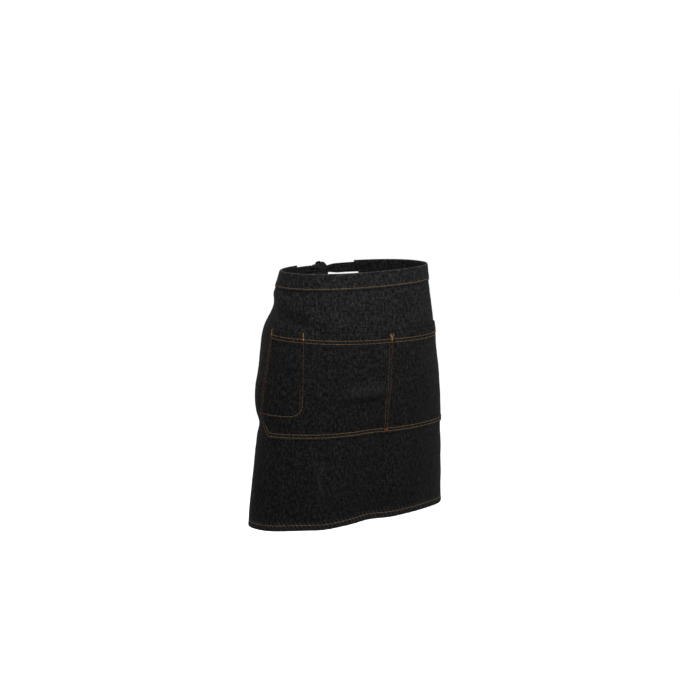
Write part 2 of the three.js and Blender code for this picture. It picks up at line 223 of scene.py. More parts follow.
@dataclass
class BodyForm:
    """The form that the apron hangs on, a stack of rounded rings, and how cloth lies on it."""

    hip_width: float = 0.368
    hip_depth: float = 0.271
    fullness: float = 2.2
    length: float = 0.496
    back_gap: float = 0.142
    band_height: float = 0.032
    fold_height: float = 0.010
    release: float = 0.026
    held_share: float = 0.25
    samples: int = 720
    rings: tuple[Ring, ...] = RINGS
    folds: tuple[Fold, ...] = FOLDS + CREASES
    rumples: tuple[Rumple, ...] = (
        Rumple(7, 18, 0.03, 0.11, 0.00045),
        Rumple(19, 22, 0.011, 0.03, 0.00012),
    )

    def __post_init__(self) -> None:
        """Measures half the apron's width, from the waist and the gap at the back."""
        self.half_width = self.ring(0.0)["arcs"][-1] - self.back_gap / 2.0

    def ring_value(self, key: str, down: float) -> float:
        """One column of the ring table, read on a smooth curve.

        Args:
            key: The column's name.
            down: Share of the apron's length below the waistband's top edge.

        Returns:
            The value there.
        """
        last = len(self.rings) - 1
        place = min(max(down, self.rings[0].down), self.rings[last].down)
        i = 0
        while i < last - 1 and place > self.rings[i + 1].down:
            i += 1

        def slope(k: int) -> float:
            """The curve's slope at one ring."""
            before, after = self.rings[max(k - 1, 0)], self.rings[min(k + 1, last)]
            return (getattr(after, key) - getattr(before, key)) / (after.down - before.down)

        span = self.rings[i + 1].down - self.rings[i].down
        t = (place - self.rings[i].down) / span
        start = (1 + 2 * t) * (1 - t) ** 2 * getattr(self.rings[i], key)
        end = t ** 2 * (3 - 2 * t) * getattr(self.rings[i + 1], key)
        return start + end + span * (t * (1 - t) ** 2 * slope(i) + t ** 2 * (t - 1) * slope(i + 1))

    def ring(self, v: float) -> dict[str, Array]:
        """One ring of the form, from the centre front round its left half to the centre back.

        Args:
            v: Distance down.

        Returns:
            Points xs and ys, their arcs from the front, outward normals nx and ny, and both slopes.
        """
        down = v / self.length
        half_width = self.hip_width / 2 * self.ring_value("width", down)
        half_depth = self.hip_depth / 2 * self.ring_value("depth", down)
        centre = self.hip_depth * self.ring_value("back", down)
        power = 2 / self.fullness
        angle = math.pi * (np.arange(self.samples + 1) / self.samples - 0.5)
        sine = np.sin(angle)
        xs = half_width * np.maximum(np.cos(angle), 0) ** power
        ys = centre + half_depth * np.sign(sine) * np.abs(sine) ** power
        arcs = np.concatenate([[0.0], np.cumsum(np.hypot(np.diff(xs), np.diff(ys)))])
        run_x, run_y = np.gradient(xs), np.gradient(ys)
        run_y[0] = run_y[-1] = 0.0
        size = np.hypot(run_x, run_y)
        return {
            "xs": xs, "ys": ys, "arcs": arcs, "nx": run_y / size, "ny": -run_x / size,
            "across": self.ring_value("across_slope", down), "rear": self.ring_value("back_slope", down),
        }

    def fold_move(self, u: Array, v: Array) -> tuple[Array, Array]:
        """How the folds move the cloth, fading out at the waistband.

        Args:
            u: Distances round.
            v: Distances down.

        Returns:
            The lift off the form and the drop at each place.
        """
        free = smoothstep(self.band_height, self.band_height + self.release, v)
        lift, sag = np.zeros_like(u), np.zeros_like(u)
        for fold in self.folds:
            aside = u - fold.across * self.half_width
            below = v - fold.down * self.length
            turn = math.radians(fold.turn)
            along = aside * math.cos(turn) + below * math.sin(turn)
            cross = below * math.cos(turn) - aside * math.sin(turn)
            reach = (along / (fold.long * self.length)) ** 2 + (cross / (fold.broad * self.length)) ** 2
            bump = np.exp(-reach)
            lift += fold.rise * bump
            sag += fold.drop * bump
        rough = sum(rumple.at(u, v) for rumple in self.rumples)
        loose = self.held_share + (1.0 - self.held_share) * free
        return free * self.fold_height * lift + loose * rough, free * self.fold_height * sag

    def wrap(self, u: Array, v: Array, off: Array) -> Array:
        """Puts places of the flat cloth in space.

        Args:
            u: Distances round.
            v: Distances down.
            off: Distances outwards from the panel's outer face.

        Returns:
            One row of x, y and z for each place.
        """
        u, v = np.asarray(u, float), np.asarray(v, float)
        lift, sag = self.fold_move(u, v)
        off = off + lift
        out = np.zeros((len(u), 3))
        rows, which = np.unique(np.round(v, 6), return_inverse=True)
        order = np.argsort(which, kind="stable")
        ends = np.searchsorted(which[order], np.arange(len(rows) + 1))
        for i, row in enumerate(rows):
            here = order[ends[i]:ends[i + 1]]
            ring = self.ring(float(row))
            side = np.where(u[here] < 0, -1.0, 1.0)
            arc = np.minimum(np.abs(u[here]), ring["arcs"][-1])
            x, y, nx, ny = (np.interp(arc, ring["arcs"], ring[key]) for key in ("xs", "ys", "nx", "ny"))
            size = np.hypot(nx, ny)
            out[here, 0] = side * (x + off[here] * nx / size)
            out[here, 1] = y + off[here] * ny / size
            tip = ring["across"] * side * x + ring["rear"] * y
            out[here, 2] = self.band_height / 2 - v[here] + tip - sag[here]
        return out


# Seams and threads

@dataclass(frozen=True)
class Seam:
    """A line of topstitching on the flat cloth. gap is between double rows, upright ones in painted shade.
    """

    name: str
    path: tuple[tuple[float, float], ...]
    gap: float = 0.0
    upright: bool = False

    def points(self) -> Array:
        """The path's corners, one row of u and v each."""
        return np.array(self.path, float)

    def measure(self, u: Array, v: Array) -> tuple[Array, Array, Array]:
        """Where places of the cloth lie beside this seam.

        Args:
            u: Distances round.
            v: Distances down.

        Returns:
            The distance along the seam, the signed distance beside it, and the plain distance to it.
        """
        corners = self.points()
        along, aside = np.zeros_like(u), np.zeros_like(u)
        best = np.full_like(u, FAR)
        start = 0.0
        for (u0, v0), (u1, v1) in zip(corners[:-1], corners[1:]):
            size = math.hypot(u1 - u0, v1 - v0)
            run_u, run_v = (u1 - u0) / size, (v1 - v0) / size
            reach = np.clip((u - u0) * run_u + (v - v0) * run_v, 0.0, size)
            away = np.hypot(u - u0 - reach * run_u, v - v0 - reach * run_v)
            side = np.sign((u - u0) * run_v - (v - v0) * run_u)
            nearer = away < best
            best = np.where(nearer, away, best)
            along = np.where(nearer, start + reach, along)
            aside = np.where(nearer, side * away, aside)
            start += size
        return along, aside, best

    def rows(self) -> list[Array]:
        """The seam's rows of stitching.

        Returns:
            One path for each row, shifted to its side of the seam's path.
        """
        if self.gap == 0.0:
            return [self.points()]
        return [shifted(self.points(), side * self.gap / 2.0) for side in (-1.0, 1.0)]


def shifted(corners: Array, distance: float) -> Array:
    """A polyline moved sideways, mitred at its corners.

    Args:
        corners: The polyline, one row of u and v each.
        distance: How far it moves to its right-hand side.

    Returns:
        The moved polyline.
    """
    run = np.diff(corners, axis=0)
    run /= np.linalg.norm(run, axis=1)[:, None]
    normal = np.stack([run[:, 1], -run[:, 0]], axis=1)
    first = np.vstack([normal[:1], normal])
    second = np.vstack([normal, normal[-1:]])
    mitre = first + second
    mitre /= np.sum(mitre * second, axis=1)[:, None]
    return corners + distance * mitre


def rounded(corners: Sequence[tuple[float, float]], radius: float, steps: int = 8) -> tuple:
    """A path with its inner corners rounded off.

    Args:
        corners: The path's sharp corners.
        radius: How far from each corner the rounding starts.
        steps: Pieces in each rounding.

    Returns:
        The rounded path's corners.
    """
    points = [np.array(c, float) for c in corners]
    out = [points[0]]
    for before, corner, after in zip(points[:-2], points[1:-1], points[2:]):
        start = corner + (before - corner) / np.linalg.norm(before - corner) * radius
        end = corner + (after - corner) / np.linalg.norm(after - corner) * radius
        for k in range(steps + 1):
            t = k / steps
            out.append((1 - t) ** 2 * start + 2 * t * (1 - t) * corner + t ** 2 * end)
    out.append(points[-1])
    return tuple((float(p[0]), float(p[1])) for p in out)


def spaced(corners: Array, pitch: float) -> tuple[Array, Array]:
    """Evenly spaced places on a polyline.

    Args:
        corners: The polyline, one row of u and v each.
        pitch: Wanted distance from one place to the next.

    Returns:
        The places and the directions of the line there, one row each.
    """
    size = np.hypot(*np.diff(corners, axis=0).T)
    arcs = np.concatenate([[0.0], np.cumsum(size)])
    count = max(1, round(arcs[-1] / pitch))
    stops = (np.arange(count) + 0.5) / count * arcs[-1]
    probe = 0.3 * pitch

    def read(at: Array) -> Array:
        """Points of the line at the given arcs."""
        return np.stack([np.interp(at, arcs, corners[:, i]) for i in (0, 1)], axis=1)

    run = read(np.minimum(stops + probe, arcs[-1])) - read(np.maximum(stops - probe, 0.0))
    return read(stops), run / np.linalg.norm(run, axis=1)[:, None]


# Finishes

def node(tree: Tree, kind: str, **values: object) -> bpy.types.Node:
    """Adds a node.

    Args:
        tree: The node tree.
        kind: The node's type name, without ShaderNode.
        **values: Properties to set, such as operation.

    Returns:
        The new node.
    """
    made = tree.nodes.new("ShaderNode" + kind)
    for key, value in values.items():
        setattr(made, key, value)
    return made


def math_node(tree: Tree, operation: str, *inputs: object) -> Socket:
    """Adds a Math node.

    Args:
        tree: The node tree.
        operation: The operation's name.
        *inputs: A socket or a number for each input.

    Returns:
        The node's result socket.
    """
    made = node(tree, "Math", operation=operation)
    for socket, value in zip(made.inputs, inputs):
        feed(tree, socket, value)
    return made.outputs[0]


def feed(tree: Tree, socket: Socket, value: object) -> None:
    """Links a socket into another one, or sets a plain value there.

    Args:
        tree: The node tree.
        socket: The input to feed.
        value: A socket or a plain value.
    """
    if isinstance(value, Socket):
        tree.links.new(value, socket)
    else:
        socket.default_value = value


def ranged(tree: Tree, value: object, spans: Spans) -> Socket:
    """Adds a Map Range node.

    Args:
        tree: The node tree.
        value: The socket to read.
        spans: From low, from high, to low and to high.

    Returns:
        The node's result socket.
    """
    made = node(tree, "MapRange")
    made.clamp = True
    feed(tree, made.inputs[0], value)
    for i, limit in enumerate(spans):
        made.inputs[i + 1].default_value = limit
    return made.outputs[0]


def mix_colours(tree: Tree, share: Socket, low: object,
                high: object) -> Socket:
    """Adds a colour mix.

    Args:
        tree: The node tree.
        share: 0 for the low colour and 1 for the high one.
        low: A socket or a colour.
        high: A socket or a colour.

    Returns:
        The mixed colour.
    """
    made = node(tree, "Mix", data_type="RGBA")
    feed(tree, made.inputs["Factor"], share)
    for key, value in (("A", low), ("B", high)):
        feed(tree, made.inputs[key], value if isinstance(value, Socket) else (*value, 1.0))
    return made.outputs["Result"]


def add_bump(tree: Tree, height: Socket, relief: tuple[float, float],
             under: Socket | None = None) -> Socket:
    """Adds a bump.

    Args:
        tree: The node tree.
        height: The height to read.
        relief: How strong it shows, and the height's scale in metres.
        under: The normal of another bump that it adds to.

    Returns:
        The bumped normal.
    """
    made = node(tree, "Bump")
    made.inputs["Strength"].default_value, made.inputs["Distance"].default_value = relief
    feed(tree, made.inputs["Height"], height)
    if under is not None:
        feed(tree, made.inputs["Normal"], under)
    return made.outputs[0]


def start_material(name: str) -> tuple[bpy.types.Material, Tree, bpy.types.Node]:
    """Starts a material.

    Args:
        name: The material's name.

    Returns:
        The material, its tree and its shader.
    """
    material = bpy.data.materials.new(name)
    material.use_nodes = True
    return material, material.node_tree, material.node_tree.nodes["Principled BSDF"]


def start_group(name: str, inputs: Sequence[tuple[str, str, object]],
                outputs: Sequence[tuple[str, str]]) -> tuple[Tree, bpy.types.Node, bpy.types.Node]:
    """Starts a shader node group.

    Args:
        name: The group's name.
        inputs: Name, socket type and default of each input.
        outputs: Name and socket type of each output.

    Returns:
        The tree, its input node and its output node.
    """
    tree = bpy.data.node_groups.new(name, "ShaderNodeTree")
    for label, kind, default in inputs:
        made = tree.interface.new_socket(name=label, in_out="INPUT", socket_type=kind)
        if default is not None:
            made.default_value = default
    for label, kind in outputs:
        tree.interface.new_socket(name=label, in_out="OUTPUT", socket_type=kind)
    return tree, tree.nodes.new("NodeGroupInput"), tree.nodes.new("NodeGroupOutput")


FLOAT, VECTOR = "NodeSocketFloat", "NodeSocketVector"


def make_twill_group() -> Tree:
    """The twill weave: dark warp yarns with short light weft floats stepping up diagonally.

    Returns:
        The node group, with the float mask and the height of the yarns.
    """
    tree, given, out = start_group(
        "Twill Weave",
        [("Vector", VECTOR, None), ("Pitch", FLOAT, 0.0005)],
        [("Float", FLOAT), ("Height", FLOAT)],
    )
    parts = node(tree, "SeparateXYZ")
    tree.links.new(given.outputs["Vector"], parts.inputs[0])
    across = math_node(tree, "DIVIDE", parts.outputs[0], given.outputs["Pitch"])
    up = math_node(tree, "DIVIDE", parts.outputs[1], given.outputs["Pitch"])
    step = math_node(tree, "ADD", math_node(tree, "FLOOR", across), math_node(tree, "FLOOR", up))
    turn = math_node(tree, "FLOORED_MODULO", step, 4.0)
    crossing = math_node(tree, "LESS_THAN", turn, 0.5)
    warp = math_node(tree, "PINGPONG", across, 0.5)
    weft = math_node(tree, "PINGPONG", up, 0.5)
    round_warp = math_node(tree, "SINE", math_node(tree, "MULTIPLY", warp, math.pi))
    round_weft = math_node(tree, "SINE", math_node(tree, "MULTIPLY", weft, math.pi))
    floating = math_node(tree, "MULTIPLY", crossing, round_weft)
    plain = math_node(tree, "MULTIPLY", math_node(tree, "SUBTRACT", 1.0, crossing), round_warp)
    tree.links.new(floating, out.inputs["Float"])
    tree.links.new(math_node(tree, "ADD", plain, floating), out.inputs["Height"])
    return tree


def make_slub_group() -> Tree:
    """Uneven yarn: fine salt and pepper, upright streaks and broad cloudy patches.

    Returns:
        The node group, with a tone factor around 1 and its height.
    """
    tree, given, out = start_group(
        "Slub And Speckle",
        [("Vector", VECTOR, None), ("Grain", FLOAT, 420.0), ("Streak", FLOAT, 0.5), ("Cloud", FLOAT, 0.3)],
        [("Tone", FLOAT), ("Height", FLOAT)],
    )

    def noise(scale: Triple, size: object, detail: float) -> Socket:
        """A noise over the cloth.

        Args:
            scale: How much finer it is along each axis.
            size: The noise's own scale, a socket or a number.
            detail: How many finer layers it has.

        Returns:
            The noise, around 0.5.
        """
        mapping = node(tree, "Mapping")
        mapping.inputs["Scale"].default_value = scale
        tree.links.new(given.outputs["Vector"], mapping.inputs["Vector"])
        made = node(tree, "TexNoise", noise_dimensions="2D")
        tree.links.new(mapping.outputs[0], made.inputs["Vector"])
        feed(tree, made.inputs["Scale"], size)
        made.inputs["Detail"].default_value = detail
        made.inputs["Roughness"].default_value = 0.6
        return made.outputs[0]

    def centred(value: Socket) -> Socket:
        """A noise that swings round 0."""
        return math_node(tree, "SUBTRACT", value, 0.5)

    upright = noise((0.9, 0.38, 1.0), given.outputs["Grain"], 1.2)
    level = noise((0.45, 1.0, 1.0), given.outputs["Grain"], 1.2)
    streak = noise((1.0, 0.08, 1.0), 620.0, 1.0)
    cross = noise((0.12, 1.0, 1.0), 1100.0, 1.0)
    cloud = noise((1.0, 0.6, 1.0), 34.0, 3.0)
    grain = math_node(tree, "MULTIPLY_ADD", upright, 0.6, math_node(tree, "MULTIPLY", level, 0.4))
    salt = math_node(tree, "POWER", ranged(tree, grain, (0.34, 0.68, 0.48, 1.44)), 1.85)
    lines = math_node(tree, "ADD", centred(streak), centred(cross))
    drawn = math_node(tree, "MULTIPLY_ADD", lines, given.outputs["Streak"], 1.0)
    patch = math_node(tree, "MULTIPLY_ADD", centred(cloud), given.outputs["Cloud"], 1.0)
    tone = math_node(tree, "MULTIPLY", math_node(tree, "MULTIPLY", salt, drawn), patch)
    tree.links.new(tone, out.inputs["Tone"])
    tree.links.new(math_node(tree, "ADD", streak, grain), out.inputs["Height"])
    return tree


def make_seam_group() -> Tree:
    """Cloth beside topstitching: a groove under each row, small puckers across it, and rubbed ridges.

    Returns:
        The node group, which reads the seam attribute, with the height and the rubbed share.
    """
    tree, given, out = start_group(
        "Seam Pucker",
        [("Seam", VECTOR, None), ("Pitch", FLOAT, 0.0031), ("Reach", FLOAT, 0.004)],
        [("Height", FLOAT), ("Rub", FLOAT)],
    )
    parts = node(tree, "SeparateXYZ")
    tree.links.new(given.outputs["Seam"], parts.inputs[0])
    beside = math_node(tree, "SUBTRACT", math_node(tree, "ABSOLUTE", parts.outputs[1]), parts.outputs[2])
    row = math_node(tree, "ABSOLUTE", beside)
    past = math_node(tree, "MAXIMUM", beside, 0.0)
    groove = ranged(tree, row, (0.0, 0.0012, 1.0, 0.0))
    mask = ranged(tree, math_node(tree, "DIVIDE", past, given.outputs["Reach"]), (0.0, 1.0, 1.0, 0.0))
    slant = math_node(tree, "MULTIPLY_ADD", parts.outputs[1], 0.6, parts.outputs[0])
    turns = math_node(tree, "DIVIDE", slant, given.outputs["Pitch"])
    wave = math_node(tree, "SINE", math_node(tree, "MULTIPLY", turns, 2.0 * math.pi))
    slow = math_node(tree, "SINE", math_node(tree, "MULTIPLY", turns, 0.74 * math.pi))
    both = math_node(tree, "MULTIPLY_ADD", slow, 1.2, math_node(tree, "MULTIPLY", wave, 0.35))
    puckers = math_node(tree, "MULTIPLY", both, mask)
    height = math_node(tree, "MULTIPLY_ADD", groove, -0.9, puckers)
    tree.links.new(height, out.inputs["Height"])
    ridge = math_node(tree, "MULTIPLY", ranged(tree, both, (0.2, 1.4, 0.0, 1.0)), mask)
    tree.links.new(ridge, out.inputs["Rub"])
    return tree


@dataclass
class Effects:
    """The node groups that several finishes share, each built once."""

    twill: Tree = field(default_factory=make_twill_group)
    slub: Tree = field(default_factory=make_slub_group)
    seam: Tree = field(default_factory=make_seam_group)


def place_group(tree: Tree, group: Tree, **values: object) -> bpy.types.Node:
    """Puts a node group in a material.

    Args:
        tree: The material's tree.
        group: The group.
        **values: A socket or number for each input, with underscores for spaces.

    Returns:
        The group's node.
    """
    made = node(tree, "Group")
    made.node_tree = group
    for key, value in values.items():
        feed(tree, made.inputs[key.replace("_", " ")], value)
    return made


@dataclass(frozen=True)
class DenimFinish:
    """Black denim: dark warp, grey weft showing through, slub, puckers at the seams and rubbed edges.
    The rubbed colour marks real wear and also painted highlights, and the tone is painted lighter at
    the top and darker towards the foot, as painted light and shade.

    A relief is a bump's strength and the scale of its height.
    """

    name: str
    warp: Triple
    weft: Triple
    # rubbed: the colour of worn cloth, also used for painted highlights
    rubbed: Triple
    roughness: float = 0.9
    pitch: float = 0.00052
    grain: float = 290.0
    streak: float = 0.6
    cloud: float = 0.7
    reach: float = 0.004
    ridge: float = 0.35
    # Tones at the top and at the foot: painted light and shade, as more light falls from above
    upper: float = 1.2
    lower: float = 0.66
    specular: float = 0.03
    weave_relief: tuple[float, float] = (0.55, 0.0003)
    pucker_relief: tuple[float, float] = (0.8, 0.0005)

    def build(self, effects: Effects) -> bpy.types.Material:
        """Makes the material.

        Args:
            effects: The shared node groups.

        Returns:
            The material.
        """
        material, tree, shader = start_material(self.name)
        cloth = node(tree, "UVMap", uv_map="Cloth").outputs[0]
        seam = node(tree, "Attribute", attribute_name="seam")
        wear_and_highlight = node(tree, "Attribute", attribute_name="wear_and_highlight")
        twill = place_group(tree, effects.twill, Vector=cloth, Pitch=self.pitch)
        slub = place_group(tree, effects.slub, Vector=cloth, Grain=self.grain, Streak=self.streak,
                           Cloud=self.cloud)
        pucker = place_group(tree, effects.seam, Seam=seam.outputs["Vector"], Reach=self.reach)
        toned = node(tree, "VectorMath", operation="SCALE")
        feed(tree, toned.inputs[0], mix_colours(tree, twill.outputs["Float"], self.warp, self.weft))
        parts = node(tree, "SeparateXYZ")
        feed(tree, parts.inputs[0], cloth)
        # Painted light and shade: the tone runs from lower at the foot up to upper at the top
        painted_light_fade = ranged(tree, parts.outputs[1], (-0.45, -0.05, self.lower, self.upper))
        feed(tree, toned.inputs["Scale"], math_node(tree, "MULTIPLY", slub.outputs["Tone"], painted_light_fade))
        patch = ranged(tree, slub.outputs["Height"], (0.8, 1.25, 0.25, 1.0))
        # The rub share mixes in the rubbed colour: real wear, and painted highlights on lit folds
        edge = math_node(tree, "MULTIPLY", wear_and_highlight.outputs["Fac"], patch)
        worn = math_node(tree, "MULTIPLY_ADD", pucker.outputs["Rub"], self.ridge, edge)
        worn = ranged(tree, worn, (0.0, 1.0, 0.0, 1.0))
        feed(tree, shader.inputs["Base Color"], mix_colours(tree, worn, toned.outputs[0], self.rubbed))
        spans = (0.7, 1.3, self.roughness - 0.08, self.roughness + 0.06)
        feed(tree, shader.inputs["Roughness"], ranged(tree, slub.outputs["Height"], spans))
        shader.inputs["Specular IOR Level"].default_value = self.specular
        fine = math_node(tree, "MULTIPLY_ADD", twill.outputs["Height"], 0.35, slub.outputs["Height"])
        weave = add_bump(tree, fine, self.weave_relief)
        puckered = add_bump(tree, pucker.outputs["Height"], self.pucker_relief, weave)
        feed(tree, shader.inputs["Normal"], puckered)
        return material


@dataclass(frozen=True)
class ThreadFinish:
    """Twisted sewing thread, with painted light on its crown and painted shade between its plies."""

    name: str
    # The thread's colour in painted shade and in painted light, with random unevenness between
    dark: Triple
    light: Triple
    roughness: float = 0.6
    specular: float = 0.1
    relief: tuple[float, float] = (0.6, 0.0002)
    ply_scale: float = 620.0
    shade_scale: float = 180.0

    def build(self) -> bpy.types.Material:
        """Makes the material.

        Returns:
            The material.
        """
        material, tree, shader = start_material(self.name)
        place = node(tree, "TexCoord").outputs["Object"]
        plies = node(tree, "TexWave", wave_type="BANDS", bands_direction="DIAGONAL")
        feed(tree, plies.inputs["Vector"], place)
        plies.inputs["Scale"].default_value = self.ply_scale
        plies.inputs["Distortion"].default_value = 0.6
        shade = node(tree, "TexNoise")
        feed(tree, shade.inputs["Vector"], place)
        shade.inputs["Scale"].default_value = self.shade_scale
        uneven = ranged(tree, shade.outputs[0], (0.32, 0.68, 0.0, 0.7))
        # Painted shade between the plies and painted light on their crowns, over random unevenness
        mixed = math_node(tree, "MULTIPLY_ADD", plies.outputs["Fac"], 0.35, uneven)
        feed(tree, shader.inputs["Base Color"], mix_colours(tree, mixed, self.dark, self.light))
        shader.inputs["Specular IOR Level"].default_value = self.specular
        spans = (0.0, 1.0, self.roughness + 0.12, self.roughness - 0.1)
        feed(tree, shader.inputs["Roughness"], ranged(tree, plies.outputs["Fac"], spans))
        feed(tree, shader.inputs["Normal"], add_bump(tree, plies.outputs["Fac"], self.relief))
        return material


def grey(level: float) -> Triple:
    """A neutral colour."""
    return (level, level, level)


class Cloth(Enum):
    """The denims, one for each slot of the record that is cloth."""

    PANEL = DenimFinish("black_denim", grey(0.0025), grey(0.0133), grey(0.024), reach=0.009, ridge=0.6)
    BAND = DenimFinish("black_denim_band", grey(0.0029), grey(0.0155), grey(0.027))
    POCKET = DenimFinish("black_denim_pocket", grey(0.0021), grey(0.0115), grey(0.022), ridge=0.2)
    TIE = DenimFinish("black_twill_tie", (0.0038, 0.0038, 0.0039), (0.016, 0.016, 0.0165),
                      (0.024, 0.024, 0.025), pitch=0.00085, streak=0.35)


class Thread(Enum):
    """The sewing threads: tan, a copy of it in painted shade for upright seams, and two for the bartacks.
    """

    TAN = ThreadFinish("tan_thread", (0.046, 0.024, 0.008), (0.16, 0.094, 0.036))
    # Painted shade: the tan thread darkened for upright seams, which catch less light from above
    SHADED_TAN = ThreadFinish("tan_thread_shaded", (0.021, 0.009, 0.003), (0.07, 0.031, 0.009))
    ORANGE = ThreadFinish("orange_thread", (0.075, 0.038, 0.012), (0.18, 0.106, 0.037))
    RUST = ThreadFinish("rust_thread", (0.05, 0.012, 0.003), (0.13, 0.038, 0.009))


class Wardrobe:
    """Every finish as a material, made once."""

    def __init__(self) -> None:
        """Builds the shared effects and all materials."""
        effects = Effects()
        self.cloth = {kind: kind.value.build(effects) for kind in Cloth}
        self.thread = {kind: kind.value.build() for kind in Thread}


# Cloth work shared by the pieces

def add_object(name: str, data: bpy.types.ID) -> Piece:
    """Puts a new object in the scene.

    Args:
        name: The object's name.
        data: Its mesh, light or camera.

    Returns:
        The object.
    """
    made = bpy.data.objects.new(name, data)
    bpy.context.scene.collection.objects.link(made)
    return made


def make_object(bm: FlatCloth, name: str, material: bpy.types.Material) -> Piece:
    """Turns a bmesh into a piece that rides on the apron.

    Args:
        bm: The finished bmesh, which is freed.
        name: The piece's name.
        material: Its material.

    Returns:
        The piece.
    """
    for face in bm.faces:
        face.smooth = True
    mesh = bpy.data.meshes.new(name)
    bm.to_mesh(mesh)
    bm.free()
    mesh.materials.append(material)
    piece = add_object(name, mesh)
    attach(piece, "root")
    return piece


def flat_grid(low: tuple[float, float], high: tuple[float, float], step: float) -> FlatCloth:
    """A flat cloth in cloth space.

    Args:
        low: Least u and v.
        high: Greatest u and v.
        step: Wanted size of its squares.

    Returns:
        A bmesh with x as u and y as minus v.
    """
    bm = bmesh.new()
    width, drop = high[0] - low[0], high[1] - low[1]
    centre = Vector(((low[0] + high[0]) / 2, -(low[1] + high[1]) / 2, 0.0))
    place = Matrix.Translation(centre) @ Matrix.Diagonal((width / 2, drop / 2, 1.0, 1.0))
    columns, rows = round(width / step), round(drop / step)
    bmesh.ops.create_grid(bm, x_segments=columns, y_segments=rows, size=1.0, matrix=place)
    return bm


def flat_places(bm: FlatCloth) -> tuple[Array, Array, Array]:
    """The distances round and down of a flat cloth's points, and their heights over it."""
    co = np.array([vert.co for vert in bm.verts])
    return co[:, 0], -co[:, 1], co[:, 2]


def turn_under(bm: FlatCloth, on_edge: Callable[[Vector], bool], hem: float, radius: float) -> None:
    """Turns the open edges of a flat cloth under and lays the hem flat behind it.

    Args:
        bm: The flat cloth.
        on_edge: Says whether an edge's middle is on an edge to turn.
        hem: Width of the turned part.
        radius: Radius of the turn, at the middle of the cloth.
    """
    edges = [e for e in bm.edges if e.is_boundary and on_edge((e.verts[0].co + e.verts[1].co) / 2)]
    sideways: dict[bmesh.types.BMVert, list[Vector]] = {}
    for edge in edges:
        run = edge.verts[1].co - edge.verts[0].co
        normal = Vector((-run.y, run.x, 0.0)).normalized()
        if normal.dot(edge.link_faces[0].calc_center_median() - edge.verts[0].co) < 0:
            normal = -normal
        for vert in edge.verts:
            sideways.setdefault(vert, []).append(normal)
    base = {}
    for vert, normals in sideways.items():
        total = sum(normals, Vector((0.0, 0.0, 0.0)))
        longest = max(normals, key=lambda normal: normal.length)
        direction = total / max(total.dot(longest), 0.3)
        vert.co += direction * radius
        base[vert] = (vert.co.copy(), direction)
    stops = [(-radius * math.sin(a), radius * (1 - math.cos(a))) for a in np.linspace(0, math.pi, 6)[1:]]
    stops += [(hem * share, 2 * radius) for share in (0.25, 0.6, 0.95)]
    for shift, depth in stops:
        made = bmesh.ops.extrude_edge_only(bm, edges=edges)["geom"]
        edges = [g for g in made if isinstance(g, bmesh.types.BMEdge)]
        edges = [edge for edge in edges if not any(vert in base for vert in edge.verts)]
        moved = {}
        for vert in (g for g in made if isinstance(g, bmesh.types.BMVert)):
            source = next(e.other_vert(vert) for e in vert.link_edges if e.other_vert(vert) in base)
            place, direction = moved[vert] = base[source]
            vert.co = place + direction * shift - Vector((0.0, 0.0, depth))
        base = moved


def dress_flat(bm: FlatCloth, seams: Iterable[Seam], wear_and_highlight: Outline) -> None:
    """Gives a flat cloth its cloth map and attributes: seams, rubbed edges and painted highlights.

    Args:
        bm: The flat cloth.
        seams: The seams whose puckers it shows.
        wear_and_highlight: How rubbed the cloth is at u and v, with the painted highlights added.
    """
    cloth = bm.loops.layers.uv.new("Cloth")
    seam_layer = bm.verts.layers.float_vector.new("seam")
    # The rub share holds rubbed wear and painted highlights
    wear_and_highlight_layer = bm.verts.layers.float.new("wear_and_highlight")
    for face in bm.faces:
        for loop in face.loops:
            loop[cloth].uv = loop.vert.co.xy
    u, v, _ = flat_places(bm)
    values = np.tile(NO_SEAM, (len(u), 1))
    nearest = np.full(len(u), FAR)
    for seam in seams:
        along, aside, away = seam.measure(u, v)
        away = np.abs(away - seam.gap / 2)
        closer = away < nearest
        nearest = np.where(closer, away, nearest)
        values[closer] = np.stack([along, aside, np.full(len(u), seam.gap / 2)], axis=1)[closer]
    for vert, value, share in zip(bm.verts, values, wear_and_highlight(u, v)):
        vert[seam_layer] = value
        vert[wear_and_highlight_layer] = share


SEAM_PUCKERS = Wave(0.0002, 0.7, 0.0112, 1.4, 53.0)
PUCKER_REACH = 0.0065


def puckers(seams: Iterable[Seam], u: Array, v: Array) -> Array:
    """How cloth is drawn up into small slanting waves along its seams.

    Args:
        seams: The seams.
        u: Distances round.
        v: Distances down.

    Returns:
        What the waves add to the offset.
    """
    lift = np.zeros_like(u)
    for seam in seams:
        along, aside, away = seam.measure(u, v)
        lift += SEAM_PUCKERS.at(along, aside) * bell(away, 0.0, PUCKER_REACH)
    return lift


def wrap_cloth(bm: FlatCloth, form: BodyForm, stand: Outline) -> None:
    """Wraps a flat cloth round the form.

    Args:
        bm: The flat cloth, whose z is added to its stand.
        form: The body form.
        stand: How far the middle of the cloth stands off at u and v.
    """
    u, v, height = flat_places(bm)
    placed = form.wrap(u, v, height + stand(u, v))
    for vert, point in zip(bm.verts, placed):
        vert.co = point


def thicken(piece: Piece, wall: float) -> None:
    """Gives a cloth its thickness, half to each side.

    Args:
        piece: The cloth.
        wall: Its thickness.
    """
    solid = piece.modifiers.new("Thickness", "SOLIDIFY")
    solid.thickness = wall
    solid.offset = 0.0


